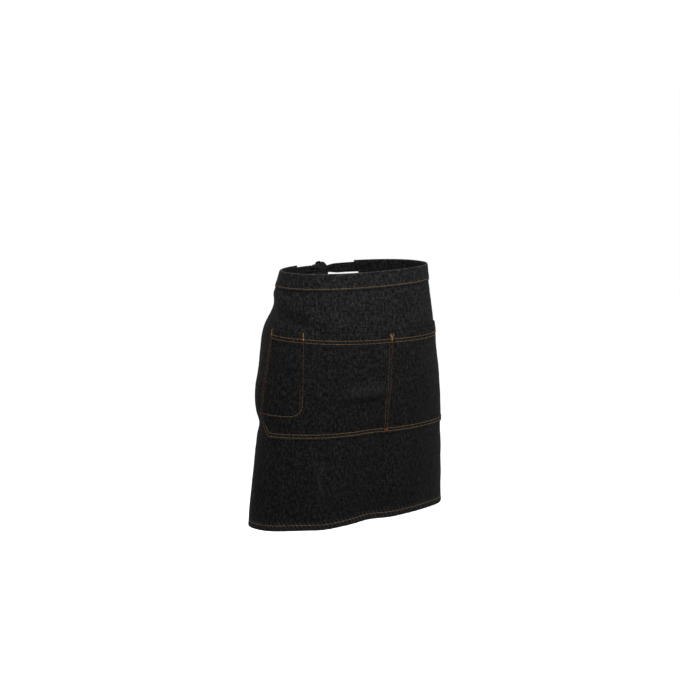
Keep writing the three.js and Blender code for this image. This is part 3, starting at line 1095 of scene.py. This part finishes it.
@dataclass
class Stitcher:
    """Sews rows of real stitches and bartacks on to the wrapped cloth."""

    form: BodyForm
    wardrobe: Wardrobe
    pitch: float = 0.0031
    half_length: float = 0.00148
    radius: float = 0.00034
    ride_height: float = 0.00012
    tack_height: float = 0.0003
    probe: float = 0.0006

    def frames(self, places: Array, runs: Array, face: Outline) -> list[Matrix]:
        """Turns places on the cloth into frames that lie on it.

        Args:
            places: Rows of u and v.
            runs: Rows with the direction of each stitch in u and v.
            face: How far the cloth's outer face stands off at u and v.

        Returns:
            A matrix for each place, with X along the stitch and Z off the cloth.
        """
        def at(shifts: Array) -> Array:
            """The places in space, each shifted by a probe's length along the cloth."""
            u, v = (places + shifts * self.probe).T
            return self.form.wrap(u, v, face(u, v) + self.ride_height)

        middle = at(np.zeros_like(places))
        ahead = at(runs)
        beside = at(np.stack([-runs[:, 1], runs[:, 0]], axis=1))
        out = []
        for point, front, side in zip(middle, ahead, beside):
            along = Vector(front - point).normalized()
            out_of = Vector(side - point).cross(along).normalized()
            across = out_of.cross(along).normalized()
            turn = Matrix((along, across, out_of)).transposed().to_4x4()
            out.append(Matrix.Translation(Vector(point)) @ turn)
        return out

    def sew(self, bm: FlatCloth, frames: Iterable[Matrix], half: float, radius: float) -> None:
        """Adds one stitch at each frame.

        Args:
            bm: Where the stitches go.
            frames: The stitches' frames.
            half: Half the length of a stitch.
            radius: The thread's radius.
        """
        shape = Matrix.Diagonal((half, radius, radius * 0.85, 1.0)) @ Matrix.Rotation(math.pi / 2, 4, "Y")
        pattern = bmesh.new()
        bmesh.ops.create_uvsphere(pattern, u_segments=6, v_segments=5, radius=1.0, matrix=shape)
        copy = bpy.data.meshes.new("stitch")
        for place in frames:
            pattern.to_mesh(copy)
            copy.transform(place)
            bm.from_mesh(copy)
        bpy.data.meshes.remove(copy)
        pattern.free()

    def seam(self, seam: Seam, face: Outline) -> Piece:
        """Sews every row of a seam as one piece.

        Args:
            seam: The seam.
            face: How far the cloth's outer face stands off.

        Returns:
            The piece with its stitches.
        """
        bm = bmesh.new()
        for row in seam.rows():
            places, runs = spaced(row, self.pitch)
            self.sew(bm, self.frames(places, runs, face), self.half_length, self.radius)
        # Upright seams take the tan thread in painted shade
        thread = Thread.SHADED_TAN if seam.upright else Thread.TAN
        return make_object(bm, f"stitches_{seam.name}", self.wardrobe.thread[thread])

    def bartacks(self, name: str, tacks: Sequence["Bartack"], thread: Thread,
                 face: Outline) -> Piece:
        """Sews a group of bartacks as one piece.

        Args:
            name: The piece's name.
            tacks: The bartacks.
            thread: The thread that they are sewn with.
            face: How far the cloth's outer face stands off.

        Returns:
            The piece with its stitches.
        """
        bm = bmesh.new()
        for tack in tacks:
            places, runs, half = tack.layout()
            frames = self.frames(places, runs, lambda u, v: face(u, v) + self.tack_height)
            self.sew(bm, frames, half, self.radius * 0.9)
        return make_object(bm, name, self.wardrobe.thread[thread])


@dataclass(frozen=True)
class Bartack:
    """A short bar of dense zigzag. turn is from upright, in degrees."""

    u: float
    v: float
    length: float = 0.0125
    width: float = 0.0024
    turn: float = 0.0
    pitch: float = 0.0008
    lean: float = 0.28

    def layout(self) -> tuple[Array, Array, float]:
        """The zigzag's stitches on the flat cloth.

        Returns:
            Their places, their directions and half their length.
        """
        count = max(6, round(self.length / self.pitch))
        angle = math.radians(self.turn)
        along = np.array([math.sin(angle), math.cos(angle)])
        across = np.array([along[1], -along[0]])
        places, runs = [], []
        for i in range(count):
            share = (i + 0.5) / count - 0.5
            places.append(np.array([self.u, self.v]) + along * share * self.length)
            run = across + along * (self.lean if i % 2 else -self.lean)
            runs.append(run / np.linalg.norm(run))
        return np.array(places), np.array(runs), self.width / 2


# The pieces

@dataclass
class SewnCloth:
    """What the panel, the pocket and the waistband share: a cloth that lies on the form and is sewn."""

    form: BodyForm
    wall: float = 0.0009

    def seams(self) -> list[Seam]:
        """The cloth's seams."""
        raise NotImplementedError

    def stand(self, u: Array, v: Array) -> Array:
        """How far the middle of the outer cloth stands off the panel's outer face, at u and v."""
        raise NotImplementedError

    def face(self, u: Array, v: Array) -> Array:
        """How far the outer face stands off, at u and v."""
        return self.stand(u, v) + self.wall / 2

    def sew(self, stitcher: Stitcher) -> list[Piece]:
        """Sews every seam."""
        return [stitcher.seam(seam, self.face) for seam in self.seams()]


@dataclass
class Panel(SewnCloth):
    """The apron panel, hemmed at its sides and foot.

    bite is the depth and the reach of the dent along the hem's seam. painted_highlight_fold is the place of
    an upright fold whose lit ridge is painted lighter, a painted highlight, and painted_highlight_size how
    far that reaches round and down.
    """

    top: float = 0.026
    hem: float = 0.012
    step: float = 0.0030
    hem_seam_down: float = 0.4853
    side_seam_in: float = 0.0095
    seam_end_in: float = 0.002
    side_seam_top: float = 0.034
    turn_radius: float = 0.00055
    foot_roping: Wave = Wave(0.00035, 0.7, 0.0165, 1.7, 41.0)
    side_ripple: Wave = Wave(0.0003, 0.5, 0.019, 1.3, 47.0)
    bite: tuple[float, float] = (0.00025, 0.0022)
    # Painted highlight: a lighter stripe on the lit ridge of an upright fold in the skirt
    painted_highlight_fold: tuple[float, float] = (-0.139, 0.405)
    painted_highlight_size: tuple[float, float] = (0.008, 0.045)

    def seams(self) -> list[Seam]:
        """The hem's seams.

        Returns:
            The one at the foot, and those at the right and the left side.
        """
        foot, half = self.hem_seam_down, self.form.half_width
        end, side = half - self.seam_end_in, half - self.side_seam_in
        return [Seam("foot_hem", ((-end, foot), (end, foot)))] + [
            Seam(f"{name}_hem", ((sign * side, self.side_seam_top), (sign * side, foot)))
            for name, sign in SIDES
        ]

    def stand(self, u: Array, v: Array) -> Array:
        """How far the middle of the cloth stands off, with a slight roping of the hem.

        Args:
            u: Distances round.
            v: Distances down.

        Returns:
            The offsets from the panel's outer face.
        """
        low = smoothstep(0.476, 0.488, v)
        roping = low * self.foot_roping.at(u, v)
        side = smoothstep(self.form.half_width - 0.014, self.form.half_width - 0.006, np.abs(u))
        ripple = side * self.side_ripple.at(v, u)
        depth, reach = self.bite
        return -self.wall / 2 + roping + ripple - depth * bell(v, self.hem_seam_down, reach)

    def wear_and_highlight(self, u: Array, v: Array) -> Array:
        """Rubbed wear at the foot's hem and edges, and a painted highlight on one upright fold.

        Args:
            u: Distances round.
            v: Distances down.

        Returns:
            A share from 0 to 1.
        """
        foot = smoothstep(self.form.length - 0.004, self.form.length, v)
        strip = smoothstep(self.hem_seam_down + 0.0015, self.hem_seam_down + 0.004, v)
        uneven = 0.7 + 0.3 * np.sin(u * 173.0 + 2.0 * np.sin(u * 47.0))
        side = smoothstep(self.form.half_width - 0.004, self.form.half_width, np.abs(u))
        # Painted highlight on the lit ridge of one upright fold; the rest is rubbed wear
        across, down = self.painted_highlight_fold
        upright = bell(u, across, self.painted_highlight_size[0]) * bell(v, down, self.painted_highlight_size[1], 4)
        return np.maximum(0.5 * np.maximum(foot, side), 0.13 * np.maximum(0.6 * strip * uneven, upright))

    def build(self, wardrobe: Wardrobe) -> Piece:
        """Cuts, hems, dresses and wraps the panel.

        Args:
            wardrobe: The finishes.

        Returns:
            The panel.
        """
        half, foot = self.form.half_width, self.form.length
        bm = flat_grid((-half, self.top), (half, foot), self.step)

        def on_edge(middle: Vector) -> bool:
            """Whether an edge's middle is on a side or on the foot."""
            return abs(middle.x) > half - TINY or middle.y < -foot + TINY

        turn_under(bm, on_edge, self.hem, self.turn_radius)
        dress_flat(bm, self.seams(), self.wear_and_highlight)
        wrap_cloth(bm, self.form, self.stand)
        piece = make_object(bm, "panel_cloth", wardrobe.cloth[Cloth.PANEL])
        thicken(piece, self.wall)
        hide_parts("apron_panel")
        return piece


@dataclass
class Pocket(SewnCloth):
    """The pocket panel: one wide cloth with slanting sides and cut-off corners, sewn into compartments.

    backstitch is where its doubled row starts and ends, and crease the middle and the reach round of
    the painted highlight on the ridge across the middle, where its upper slope catches the light.
    """

    half_width: float = 0.262
    flare: float = 0.018
    height: float = 0.208
    drop: float = 0.113
    top_hem: float = 0.020
    edge_hem: float = 0.009
    corner: float = 0.028
    phone_width: float = 0.084
    phone_depth: float = 0.164
    phone_edge: float = 0.273
    phone_round: float = 0.04
    mouth_seam: float = 0.1287
    side_in: float = 0.0052
    row_gap: float = 0.0058
    mouth_gap: float = 0.0064
    divider_gap: float = 0.006
    backstitch_in: float = 0.0048
    backstitch: tuple[float, float] = (0.222, 0.262)
    turn_radius: float = 0.0005
    roping: Wave = Wave(0.0001, 0.6, 0.014, 1.5, 37.0)
    clearance: float = 0.0002
    # Painted highlight on the ridge across the middle: where it is round and how far it reaches
    crease_highlight: tuple[float, float] = (-0.043, 0.052)
    ease: float = 0.0028
    step: float = 0.0023

    def __post_init__(self) -> None:
        """Works out the shared places on the pocket."""
        self.bottom = self.drop + self.height
        self.phone_seam = self.half_width - self.phone_width
        self.half_foot = self.half_width + self.flare
        self.corner_column = self.half_foot - self.corner

    def edge(self, v: Array) -> Array:
        """Half the pocket's width at v."""
        return self.half_width + self.flare * (v - self.drop) / self.height

    def edge_distance(self, u: Array, v: Array) -> Array:
        """How far a place is inside the pocket's side, corner and bottom edges.

        Args:
            u: Distances round.
            v: Distances down.

        Returns:
            The distance to the nearest of those edges.
        """
        side = self.edge(v) - np.abs(u)
        cut = (self.corner_column + self.bottom - np.abs(u) - v) / math.sqrt(2.0)
        return np.minimum(np.minimum(side, cut), self.bottom - v)

    def seams(self) -> list[Seam]:
        """All the seams that hold the pocket.

        Returns:
            The seams, the long ones round its edge first.
        """
        top = self.drop + 0.003
        turn_down = self.bottom - self.corner + 0.0035
        high = (float(self.edge(top)) - self.side_in, top)
        low = (float(self.edge(turn_down)) - self.side_in, turn_down)
        foot = [low, (self.corner_column - 0.0035, self.bottom - 0.0062)]
        under = [(-u, v) for u, v in foot] + foot[::-1]
        mouth = self.half_width - 0.003
        phone, back = self.phone_seam, self.phone_seam + self.backstitch_in
        level = self.drop + self.phone_depth
        begin, end = self.drop + 0.002, self.bottom - 0.004
        bend = (-phone, level - self.phone_round)
        foot_path = rounded((bend, (-phone, level), (-self.phone_edge, level)), 0.027)
        return [
            Seam("pocket_foot", tuple(under), self.row_gap),
            *(Seam(f"pocket_side_{name}", ((sign * high[0], high[1]), (sign * low[0], low[1])),
                   self.row_gap, True) for name, sign in SIDES),
            Seam("pocket_mouth", ((-mouth, self.mouth_seam), (mouth, self.mouth_seam)), self.mouth_gap),
            Seam("divider", ((0.0018, begin), (0.0004, end)), self.divider_gap, True),
            Seam("phone_pocket", ((-phone, begin), bend), 0.0, True),
            Seam("phone_pocket_foot", foot_path),
            Seam("phone_pocket_backstitch", tuple((-back, v) for v in self.backstitch), 0.0, True),
            Seam("right_divider", ((phone, begin), (phone, end)), 0.0, True),
        ]

    def tacks(self) -> list[Bartack]:
        """The bartacks where seams end at the pocket's mouth.

        Returns:
            One for each seam, and three that make a Y at the divider.
        """
        top = self.drop + 0.0068
        phone, side = self.phone_seam, self.half_width - 0.005
        return [
            Bartack(-side - 0.0012, top + 0.0008, 0.0125, 0.0034, turn=-8),
            Bartack(-phone, top + 0.001, 0.0145, 0.0032),
            Bartack(0.0012, top - 0.0006, 0.0072, 0.0036, turn=27),
            Bartack(0.0062, top - 0.0010, 0.0062, 0.0028, turn=-27),
            Bartack(0.0034, top + 0.0054, 0.0085, 0.0036),
            Bartack(phone, top, 0.0125, 0.0028),
            Bartack(side, top, 0.0125, 0.003, turn=8),
        ]

    def foot_tacks(self) -> list[Bartack]:
        """The small dark bartacks at the seams' lower ends.

        Returns:
            The one below the divider, and the one at the phone pocket's corner.
        """
        return [
            Bartack(0.0, self.bottom - 0.006, 0.0085, 0.0024, turn=84),
            Bartack(-self.phone_edge - 0.0015, self.drop + self.phone_depth, 0.006, 0.0022, turn=88),
        ]

    def stand(self, u: Array, v: Array) -> Array:
        """How far the middle of the cloth stands off, over its turned edges and between its seams.

        Args:
            u: Distances round.
            v: Distances down.

        Returns:
            The offsets from the panel's outer face.
        """
        aside = np.abs(u)
        inside = aside < self.phone_seam
        outer = (aside - self.phone_seam) / (self.edge(v) - self.phone_seam)
        across = np.clip(np.where(inside, aside / self.phone_seam, outer), 0.0, 1.0)
        depth = np.where(u < -self.phone_seam, self.phone_depth, self.height)
        share = np.clip((v - self.drop) / depth, 0.0, 1.0)
        lift = self.ease * np.sin(math.pi * across) * (1.0 - share ** 2)
        over_edge = smoothstep(self.edge_hem + 0.0035, self.edge_hem - 0.0005, self.edge_distance(u, v))
        over_top = smoothstep(self.drop + self.top_hem + 0.002, self.drop + self.top_hem - 0.002, v)
        layer = self.wall + 0.0001
        roping = smoothstep(self.bottom - 0.012, self.bottom - 0.004, v) * self.roping.at(u, v)
        drawn = np.maximum(0.0, self.clearance + roping + puckers(self.seams(), u, v))
        return self.wall / 2 + np.maximum(over_edge, over_top) * layer + lift + drawn

    def wear_and_highlight(self, u: Array, v: Array) -> Array:
        """Rubbed wear along its edges, and a painted highlight on the ridge across the middle.

        Args:
            u: Distances round.
            v: Distances down.

        Returns:
            A share from 0 to 1.
        """
        mouth = smoothstep(self.drop + 0.003, self.drop, v)
        edges = np.maximum(0.35 * smoothstep(0.0035, 0.0, self.edge_distance(u, v)), 0.1 * mouth)
        # Painted highlight: a lighter band on the lit upper slope of the ridge across the middle
        above, below = smoothstep(0.205, 0.236, v), smoothstep(0.242, 0.238, v)
        crease_highlight = 0.19 * bell(u, *self.crease_highlight, 4) * above * below
        return np.maximum(edges, crease_highlight)

    def build(self, wardrobe: Wardrobe) -> Piece:
        """Cuts, hems, dresses and wraps the pocket.

        Args:
            wardrobe: The finishes.

        Returns:
            The pocket panel.
        """
        wide = self.half_foot
        bm = flat_grid((-wide, self.drop), (wide, self.bottom), self.step)
        for vert in bm.verts:
            past = abs(vert.co.x) - self.phone_seam
            if past > 0.0:
                room = float(self.edge(-vert.co.y)) - self.phone_seam
                reach = self.phone_seam + past * room / (wide - self.phone_seam)
                vert.co.x = math.copysign(reach, vert.co.x)
        for side in (-1.0, 1.0):
            bmesh.ops.bisect_plane(
                bm, geom=bm.verts[:] + bm.edges[:] + bm.faces[:], dist=NEAR, clear_outer=True,
                plane_co=(side * self.corner_column, -self.bottom, 0.0), plane_no=(side, -1.0, 0.0),
            )
        bmesh.ops.dissolve_degenerate(bm, dist=NEAR, edges=bm.edges[:])

        def on_rim(middle: Vector) -> bool:
            """Whether an edge's middle is on a side, a corner or the bottom."""
            return middle.y < -self.drop - TINY

        turn_under(bm, on_rim, self.edge_hem, self.turn_radius)
        turn_under(bm, lambda middle: not on_rim(middle), self.top_hem, self.turn_radius)
        dress_flat(bm, self.seams(), self.wear_and_highlight)
        wrap_cloth(bm, self.form, self.stand)
        piece = make_object(bm, "pocket_cloth", wardrobe.cloth[Cloth.POCKET])
        thicken(piece, self.wall)
        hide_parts("pocket_panel")
        return piece

    def sew(self, stitcher: Stitcher) -> list[Piece]:
        """Sews the pocket on, with its bartacks.

        Args:
            stitcher: What sews.

        Returns:
            The rows of stitches and the two groups of bartacks.
        """
        return super().sew(stitcher) + [
            stitcher.bartacks("bartacks_pocket", self.tacks(), Thread.ORANGE, self.face),
            stitcher.bartacks("bartacks_pocket_foot", self.foot_tacks(), Thread.RUST, self.face),
        ]


@dataclass
class Waistband(SewnCloth):
    """The waistband: a strip folded over the panel's top edge, both its edges turned in.

    under, over and back are how far its hem, its front and its back layer stand off. ends is how far
    in the short end seams lie and where they start and end. bite is the depth and the reach of the
    dent along the seam.
    """

    seam_down: float = 0.029
    hem: float = 0.008
    step: float = 0.0030
    under: float = 0.00055
    over: float = 0.00155
    back: float = -0.0024
    turn: float = 0.0005
    crown: float = 0.0022
    back_sway: float = 0.4
    map_start: float = 0.7
    seam_end_in: float = 0.003
    ends: tuple[float, float, float] = (0.004, 0.004, 0.027)
    roping: Wave = Wave(0.00022, 0.9, 0.0135, 1.6, 39.0)
    bite: tuple[float, float] = (0.0002, 0.0018)

    def section(self) -> list[tuple[float, float]]:
        """The strip in section, from its front turned edge over the top to its back turned edge.

        Returns:
            Rows of v and how far the middle of the cloth stands off the panel's outer face.
        """
        low, turn, crown = self.form.band_height - 0.0005, self.turn, self.crown
        under, over, back = self.under, self.over, self.back

        def hem_turn(start: float) -> list[tuple[float, float]]:
            """The turn of a hem at the lower edge, outwards from start."""
            bend = np.linspace(0, math.pi, 5)[1:-1]
            return [(low + turn * math.sin(a), start + turn * (1 - math.cos(a))) for a in bend]

        rows = [(low - self.hem, under), (low - self.hem / 2, under), (low, under)] + hem_turn(under)
        rows += [(v, over) for v in np.linspace(low, crown, 14)]
        centre, radius = (over + back) / 2, (over - back) / 2
        for a in np.linspace(0, math.pi, 9)[1:-1]:
            rows.append((crown - crown * math.sin(a), centre + radius * math.cos(a)))
        rows += [(v, back) for v in np.linspace(crown, low, 9)] + hem_turn(back)
        return rows + [(low, back + 2 * turn), (low - self.hem, back + 2 * turn)]

    def seams(self) -> list[Seam]:
        """The waistband's seams.

        Returns:
            The row along the lower edge, and the short ones at the right and the left end.
        """
        half = self.form.half_width
        end = half - self.seam_end_in
        inwards, top, bottom = self.ends
        across = half - inwards
        return [Seam("waistband", ((-end, self.seam_down), (end, self.seam_down)))] + [
            Seam(f"band_end_{name}", ((sign * across, top), (sign * across, bottom)))
            for name, sign in SIDES
        ]

    def sway(self, u: Array, v: Array) -> Array:
        """How the band ripples between its stitches and at its top edge.

        Args:
            u: Distances round.
            v: Distances down.

        Returns:
            What the ripple adds to the offset.
        """
        roping = bell(v, 0.0245, 0.006) * self.roping.at(u, v)
        broad = np.sin(u * 61.0 + 1.1) + 0.7 * np.sin(u * 113.0 + 0.4)
        depth, reach = self.bite
        return roping + 0.0002 * broad * smoothstep(0.03, 0.0, v) - depth * bell(v, self.seam_down, reach)

    def stand(self, u: Array, v: Array) -> Array:
        """How far the middle of the front layer stands off, at u and v."""
        return self.over + self.sway(u, v)

    def wear_and_highlight(self, u: Array, v: Array) -> Array:
        """How rubbed the cloth is: along the top fold and the lower edge."""
        return np.maximum(0.5 * smoothstep(0.0022, 0.0, v), 0.35 * smoothstep(0.0305, 0.0322, v))

    def build(self, wardrobe: Wardrobe) -> Piece:
        """Folds, dresses and wraps the strip.

        Args:
            wardrobe: The finishes.

        Returns:
            The waistband.
        """
        rows = self.section()
        half = self.form.half_width
        bm = bmesh.new()
        columns = round(2 * half / self.step)
        bmesh.ops.create_grid(bm, x_segments=columns, y_segments=len(rows) - 1, size=1.0)
        layer = bm.verts.layers.float.new("along_section")
        lengths = [0.0]
        for (v0, s0), (v1, s1) in zip(rows[:-1], rows[1:]):
            lengths.append(lengths[-1] + math.hypot(v1 - v0, s1 - s0))
        for vert in bm.verts:
            row = round((vert.co.y + 1.0) / 2.0 * (len(rows) - 1))
            v, off = rows[row]
            vert[layer] = lengths[row]
            vert.co = (vert.co.x * half, -v, off)
        dress_flat(bm, self.seams(), self.wear_and_highlight)
        cloth = bm.loops.layers.uv["Cloth"]
        for face in bm.faces:
            for loop in face.loops:
                loop[cloth].uv = (loop.vert.co.x, loop.vert[layer] + self.map_start)
        middle = (self.over + self.back) / 2
        share = np.where(flat_places(bm)[2] > middle, 1.0, self.back_sway)
        wrap_cloth(bm, self.form, lambda u, v: share * self.sway(u, v))
        piece = make_object(bm, "waistband_cloth", wardrobe.cloth[Cloth.BAND])
        thicken(piece, self.wall)
        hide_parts("waistband")
        return piece


@dataclass
class Ribbon:
    """A strip of cloth bent along a line in space. places, sides and widths have one entry per stop."""

    name: str
    places: Array
    sides: Array
    widths: Array
    pleats: Array
    wall: float = 0.0010
    across: int = 16
    closed: bool = False
    seed: float = 0.0
    map_half: float = 0.012
    map_step: float = 3.0

    def build(self, wardrobe: Wardrobe) -> Piece:
        """Bends a flat grid along the line.

        Args:
            wardrobe: The finishes.

        Returns:
            The strip.
        """
        places, sides = self.places, self.sides / np.linalg.norm(self.sides, axis=1)[:, None]
        count = len(places)
        run = np.gradient(places, axis=0)
        if self.closed:
            run = np.roll(places, -1, axis=0) - np.roll(places, 1, axis=0)
        run /= np.linalg.norm(run, axis=1)[:, None]
        normal = np.cross(run, sides)
        normal /= np.linalg.norm(normal, axis=1)[:, None]
        size = np.linalg.norm(np.diff(places, axis=0), axis=1)
        arcs = np.concatenate([[0.0], np.cumsum(size)])
        bm = bmesh.new()
        bmesh.ops.create_grid(bm, x_segments=count - 1, y_segments=self.across, size=1.0)
        cloth = bm.loops.layers.uv.new("Cloth")
        bm.verts.layers.float_vector.new("seam")
        wear_and_highlight_layer = bm.verts.layers.float.new("wear_and_highlight")
        seam_layer = bm.verts.layers.float_vector["seam"]
        flat = {}
        for vert in bm.verts:
            i = round((vert.co.x + 1) / 2 * (count - 1))
            t = vert.co.y
            swing = math.cos(t * math.pi * 2.5 + self.seed)
            swing += 0.5 * math.cos(t * math.pi * 5.1 + 2 * self.seed)
            flat[vert] = (arcs[i] + self.map_step * self.seed, t * self.map_half)
            vert[wear_and_highlight_layer] = 0.35 * float(smoothstep(0.9, 1.0, abs(t)))
            vert[seam_layer] = NO_SEAM
            vert.co = places[i] + sides[i] * (t * self.widths[i] / 2) + normal[i] * self.pleats[i] * swing
        for face in bm.faces:
            for loop in face.loops:
                loop[cloth].uv = flat[loop.vert]
        if self.closed:
            bmesh.ops.remove_doubles(bm, verts=bm.verts[:], dist=0.00002)
        piece = make_object(bm, self.name, wardrobe.cloth[Cloth.TIE])
        thicken(piece, self.wall)
        return piece


@dataclass
class Ties:
    """The two ties, from inside the waistband's ends to the knot at the centre back, with hanging tails."""

    form: BodyForm
    width: float = 0.024
    grip: float = 0.002
    inside_band: float = 0.012
    gathered: float = 0.42
    pleat: float = 0.0016
    tail: float = 0.150
    tail_top: float = 0.006
    tail_hidden: float = 0.010
    knot_depth: float = 0.017
    level: float = 0.0136
    turn_width: float = 0.0155

    def girth(self) -> float:
        """Half the way round the form at the ties."""
        return float(self.form.ring(self.level)["arcs"][-1])

    def centre(self) -> Vector:
        """The middle of the knot."""
        place = np.array([[self.girth()], [self.level], [self.knot_depth / 4]])
        return Vector(self.form.wrap(*place)[0])

    def tie(self, side: int, wardrobe: Wardrobe) -> Piece:
        """One tie, gathering as it reaches the knot.

        Args:
            side: 1 for the wearer's left and -1 for their right.
            wardrobe: The finishes.

        Returns:
            The tie.
        """
        start = self.form.half_width - self.inside_band
        reach = self.girth() - self.grip
        count = 44
        u = side * np.linspace(start, reach, count)
        v = np.full(count, self.level)
        off = np.full(count, -0.0005)
        places = self.form.wrap(u, v, off)
        sides = self.form.wrap(u, v - 0.004, off) - places
        share = np.linspace(0, 1, count)
        gather = smoothstep(0.62, 1.0, share)
        widths = self.width * (1 - self.gathered * gather)
        pleats = self.pleat * gather + 0.00025 * smoothstep(0.2, 0.5, share)
        name = "tie_left_cloth" if side > 0 else "tie_right_cloth"
        ribbon = Ribbon(name, places, sides, widths, pleats, seed=0.6 if side > 0 else 1.9)
        piece = ribbon.build(wardrobe)
        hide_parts("tie_left" if side > 0 else "tie_right")
        return piece

    def loop(self, name: str, shift: float, lean: float, size: tuple[float, float],
             wardrobe: Wardrobe) -> Piece:
        """One turn of a tie round the knot.

        Args:
            name: The piece's name.
            shift: How far it lies towards +X.
            lean: How far its ring leans, in degrees.
            size: Half its depth and half its height.
            wardrobe: The finishes.

        Returns:
            The turn.
        """
        middle = self.centre() + Vector((shift, 0.0, 0.0))
        count = 65
        angle = np.linspace(0, 2 * math.pi, count)
        tilt = math.radians(lean)
        depth, height = size
        ring = np.zeros((count, 3))
        bulge = 1 + 0.05 * np.sin(3 * angle + shift * 900) + 0.03 * np.sin(5 * angle)
        for axis, half, way in ((1, depth, np.cos(angle)), (2, height, np.sin(angle))):
            ring[:, axis] = half * np.sign(way) * np.abs(way) ** 0.8 * bulge
        ring[:, 0] = ring[:, 2] * math.tan(tilt)
        ring[-1] = ring[0]
        places = ring + np.array(middle)
        sides = np.tile([math.cos(tilt), 0.0, -math.sin(tilt)], (count, 1))
        widths = self.turn_width * (1 + 0.12 * np.sin(angle * 2 + 0.5))
        pleats = 0.0010 * (1 + 0.3 * np.sin(angle * 3))
        widths[-1], pleats[-1] = widths[0], pleats[0]
        ribbon = Ribbon(name, places, sides, widths, pleats, closed=True, seed=shift * 100 + 1.0)
        return ribbon.build(wardrobe)

    def tail_end(self, side: int, wardrobe: Wardrobe) -> Piece:
        """One hanging end, folded softly and swinging aside.

        Args:
            side: 1 for the one that swings towards +X and -1 for the other.
            wardrobe: The finishes.

        Returns:
            The hanging end.
        """
        middle = self.centre()
        count = 64
        share = np.linspace(0, 1, count)
        length = self.tail + self.tail_hidden
        places = np.zeros((count, 3))
        swing = self.width / 2
        places[:, 0] = middle.x + side * (swing * share + 0.002 * np.sin(share * 5.0))
        places[:, 1] = middle.y + side * 0.0017 + 0.0012 * np.sin(share * 7.0 + side)
        places[:, 2] = middle.z - self.tail_top - length * share
        turn = np.radians(10 * np.sin(share * 4.2 + side))
        sides = np.stack([np.cos(turn), np.sin(turn) * 0.25, np.zeros(count)], axis=1)
        open_up = smoothstep(0.0, 0.25, share)
        widths = self.width * (0.55 + 0.43 * open_up)
        pleats = 0.0013 * (1 - open_up) + 0.00045 * (0.6 + 0.4 * np.sin(share * 9.0))
        name = "tail_left_cloth" if side > 0 else "tail_right_cloth"
        piece = Ribbon(name, places, sides, widths, pleats, seed=0.3 * side).build(wardrobe)
        return piece

    def build(self, wardrobe: Wardrobe) -> list[Piece]:
        """Makes both ties, the knot and its tails.

        Args:
            wardrobe: The finishes.

        Returns:
            The pieces.
        """
        pieces = [self.tie(side, wardrobe) for side in (-1, 1)]
        pieces += [self.tail_end(side, wardrobe) for side in (-1, 1)]
        turns = (
            ("knot_wrap_over", 0.0, 16.0, (0.0078, 0.0135)),
            ("knot_wrap_under", 0.0065, -20.0, (0.0062, 0.0118)),
            ("knot_wrap_inner", -0.0070, -12.0, (0.0050, 0.0104)),
            ("knot_core_outer", 0.0030, 6.0, (0.0034, 0.0084)),
            ("knot_core_inner", -0.0020, -8.0, (0.0013, 0.0058)),
        )
        for name, shift, lean, size in turns:
            piece = self.loop(name, shift, lean, size, wardrobe)
            pieces.append(piece)
        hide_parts("tie_knot")
        return pieces


# Stage

@dataclass
class Studio:
    """A wide pale floor, soft lights and the camera."""

    floor_level: float = -0.95
    floor_half: float = 60.0
    floor_tone: float = 0.93
    camera_place: Triple = (-2.440, -3.422, 0.440)
    heading: float = 35.2
    pitch: float = 7.75
    lens: float = 112.8
    sensor: float = 36.0
    aim: Triple = (0.0, 0.0, -0.22)
    sky: float = 1.08

    def floor(self) -> Piece:
        """The floor, wide enough to fill the view.

        Returns:
            The floor.
        """
        bm = bmesh.new()
        level = Matrix.Translation((0.0, 0.0, self.floor_level))
        bmesh.ops.create_grid(bm, x_segments=2, y_segments=2, size=self.floor_half, matrix=level)
        mesh = bpy.data.meshes.new("floor")
        bm.to_mesh(mesh)
        bm.free()
        floor = add_object("floor", mesh)
        material, _, shader = start_material("pale_floor")
        shader.inputs["Base Color"].default_value = (*grey(self.floor_tone), 1.0)
        shader.inputs["Roughness"].default_value = 0.9
        shader.inputs["Specular IOR Level"].default_value = 0.1
        mesh.materials.append(material)
        return floor

    def light(self, name: str, place: Triple, size: float,
              power: float) -> Piece:
        """A soft square light aimed at the apron.

        Args:
            name: The light's name.
            place: Where it stands.
            size: Length of its side.
            power: Its power in watts.

        Returns:
            The light.
        """
        data = bpy.data.lights.new(name, "AREA")
        data.size = size
        data.energy = power
        lamp = add_object(name, data)
        lamp.location = place
        way = Vector(self.aim) - Vector(place)
        lamp.rotation_euler = way.to_track_quat("-Z", "Y").to_euler()
        lamp.visible_camera = False
        return lamp

    def camera(self) -> Piece:
        """The camera at the photograph's angle.

        Returns:
            The camera.
        """
        data = bpy.data.cameras.new("camera")
        data.lens = self.lens
        data.sensor_width = self.sensor
        eye = add_object("camera", data)
        eye.location = self.camera_place
        eye.rotation_euler = (math.radians(90 - self.pitch), 0.0, -math.radians(self.heading))
        bpy.context.scene.camera = eye
        return eye

    def build(self) -> None:
        """Sets the whole stage."""
        self.camera()
        self.floor()
        world = bpy.data.worlds.new("studio")
        world.use_nodes = True
        light = world.node_tree.nodes["Background"]
        light.inputs[0].default_value = (1.0, 1.0, 1.0, 1.0)
        light.inputs[1].default_value = self.sky
        bpy.context.scene.world = world
        bpy.context.scene.view_settings.view_transform = "Standard"
        self.light("key", (-0.2, -1.0, 1.15), 0.9, 62.0)
        self.light("back", (-0.3, 1.3, 1.5), 1.1, 30.0)


def main() -> None:
    """Builds the apron in order."""
    logging.basicConfig(level=logging.INFO, format="%(name)s: %(message)s")
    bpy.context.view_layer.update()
    Studio().build()
    wardrobe = Wardrobe()
    form = BodyForm()
    stitcher = Stitcher(form, wardrobe)
    panel, pocket, band, ties = Panel(form), Pocket(form), Waistband(form), Ties(form)
    pieces = [panel.build(wardrobe), pocket.build(wardrobe), band.build(wardrobe)]
    pieces += ties.build(wardrobe)
    for part in (panel, pocket, band):
        pieces += part.sew(stitcher)
    for piece in pieces:
        log.info("%s: %d faces", piece.name, len(piece.data.polygons))


if __name__ == "__main__":
    main()
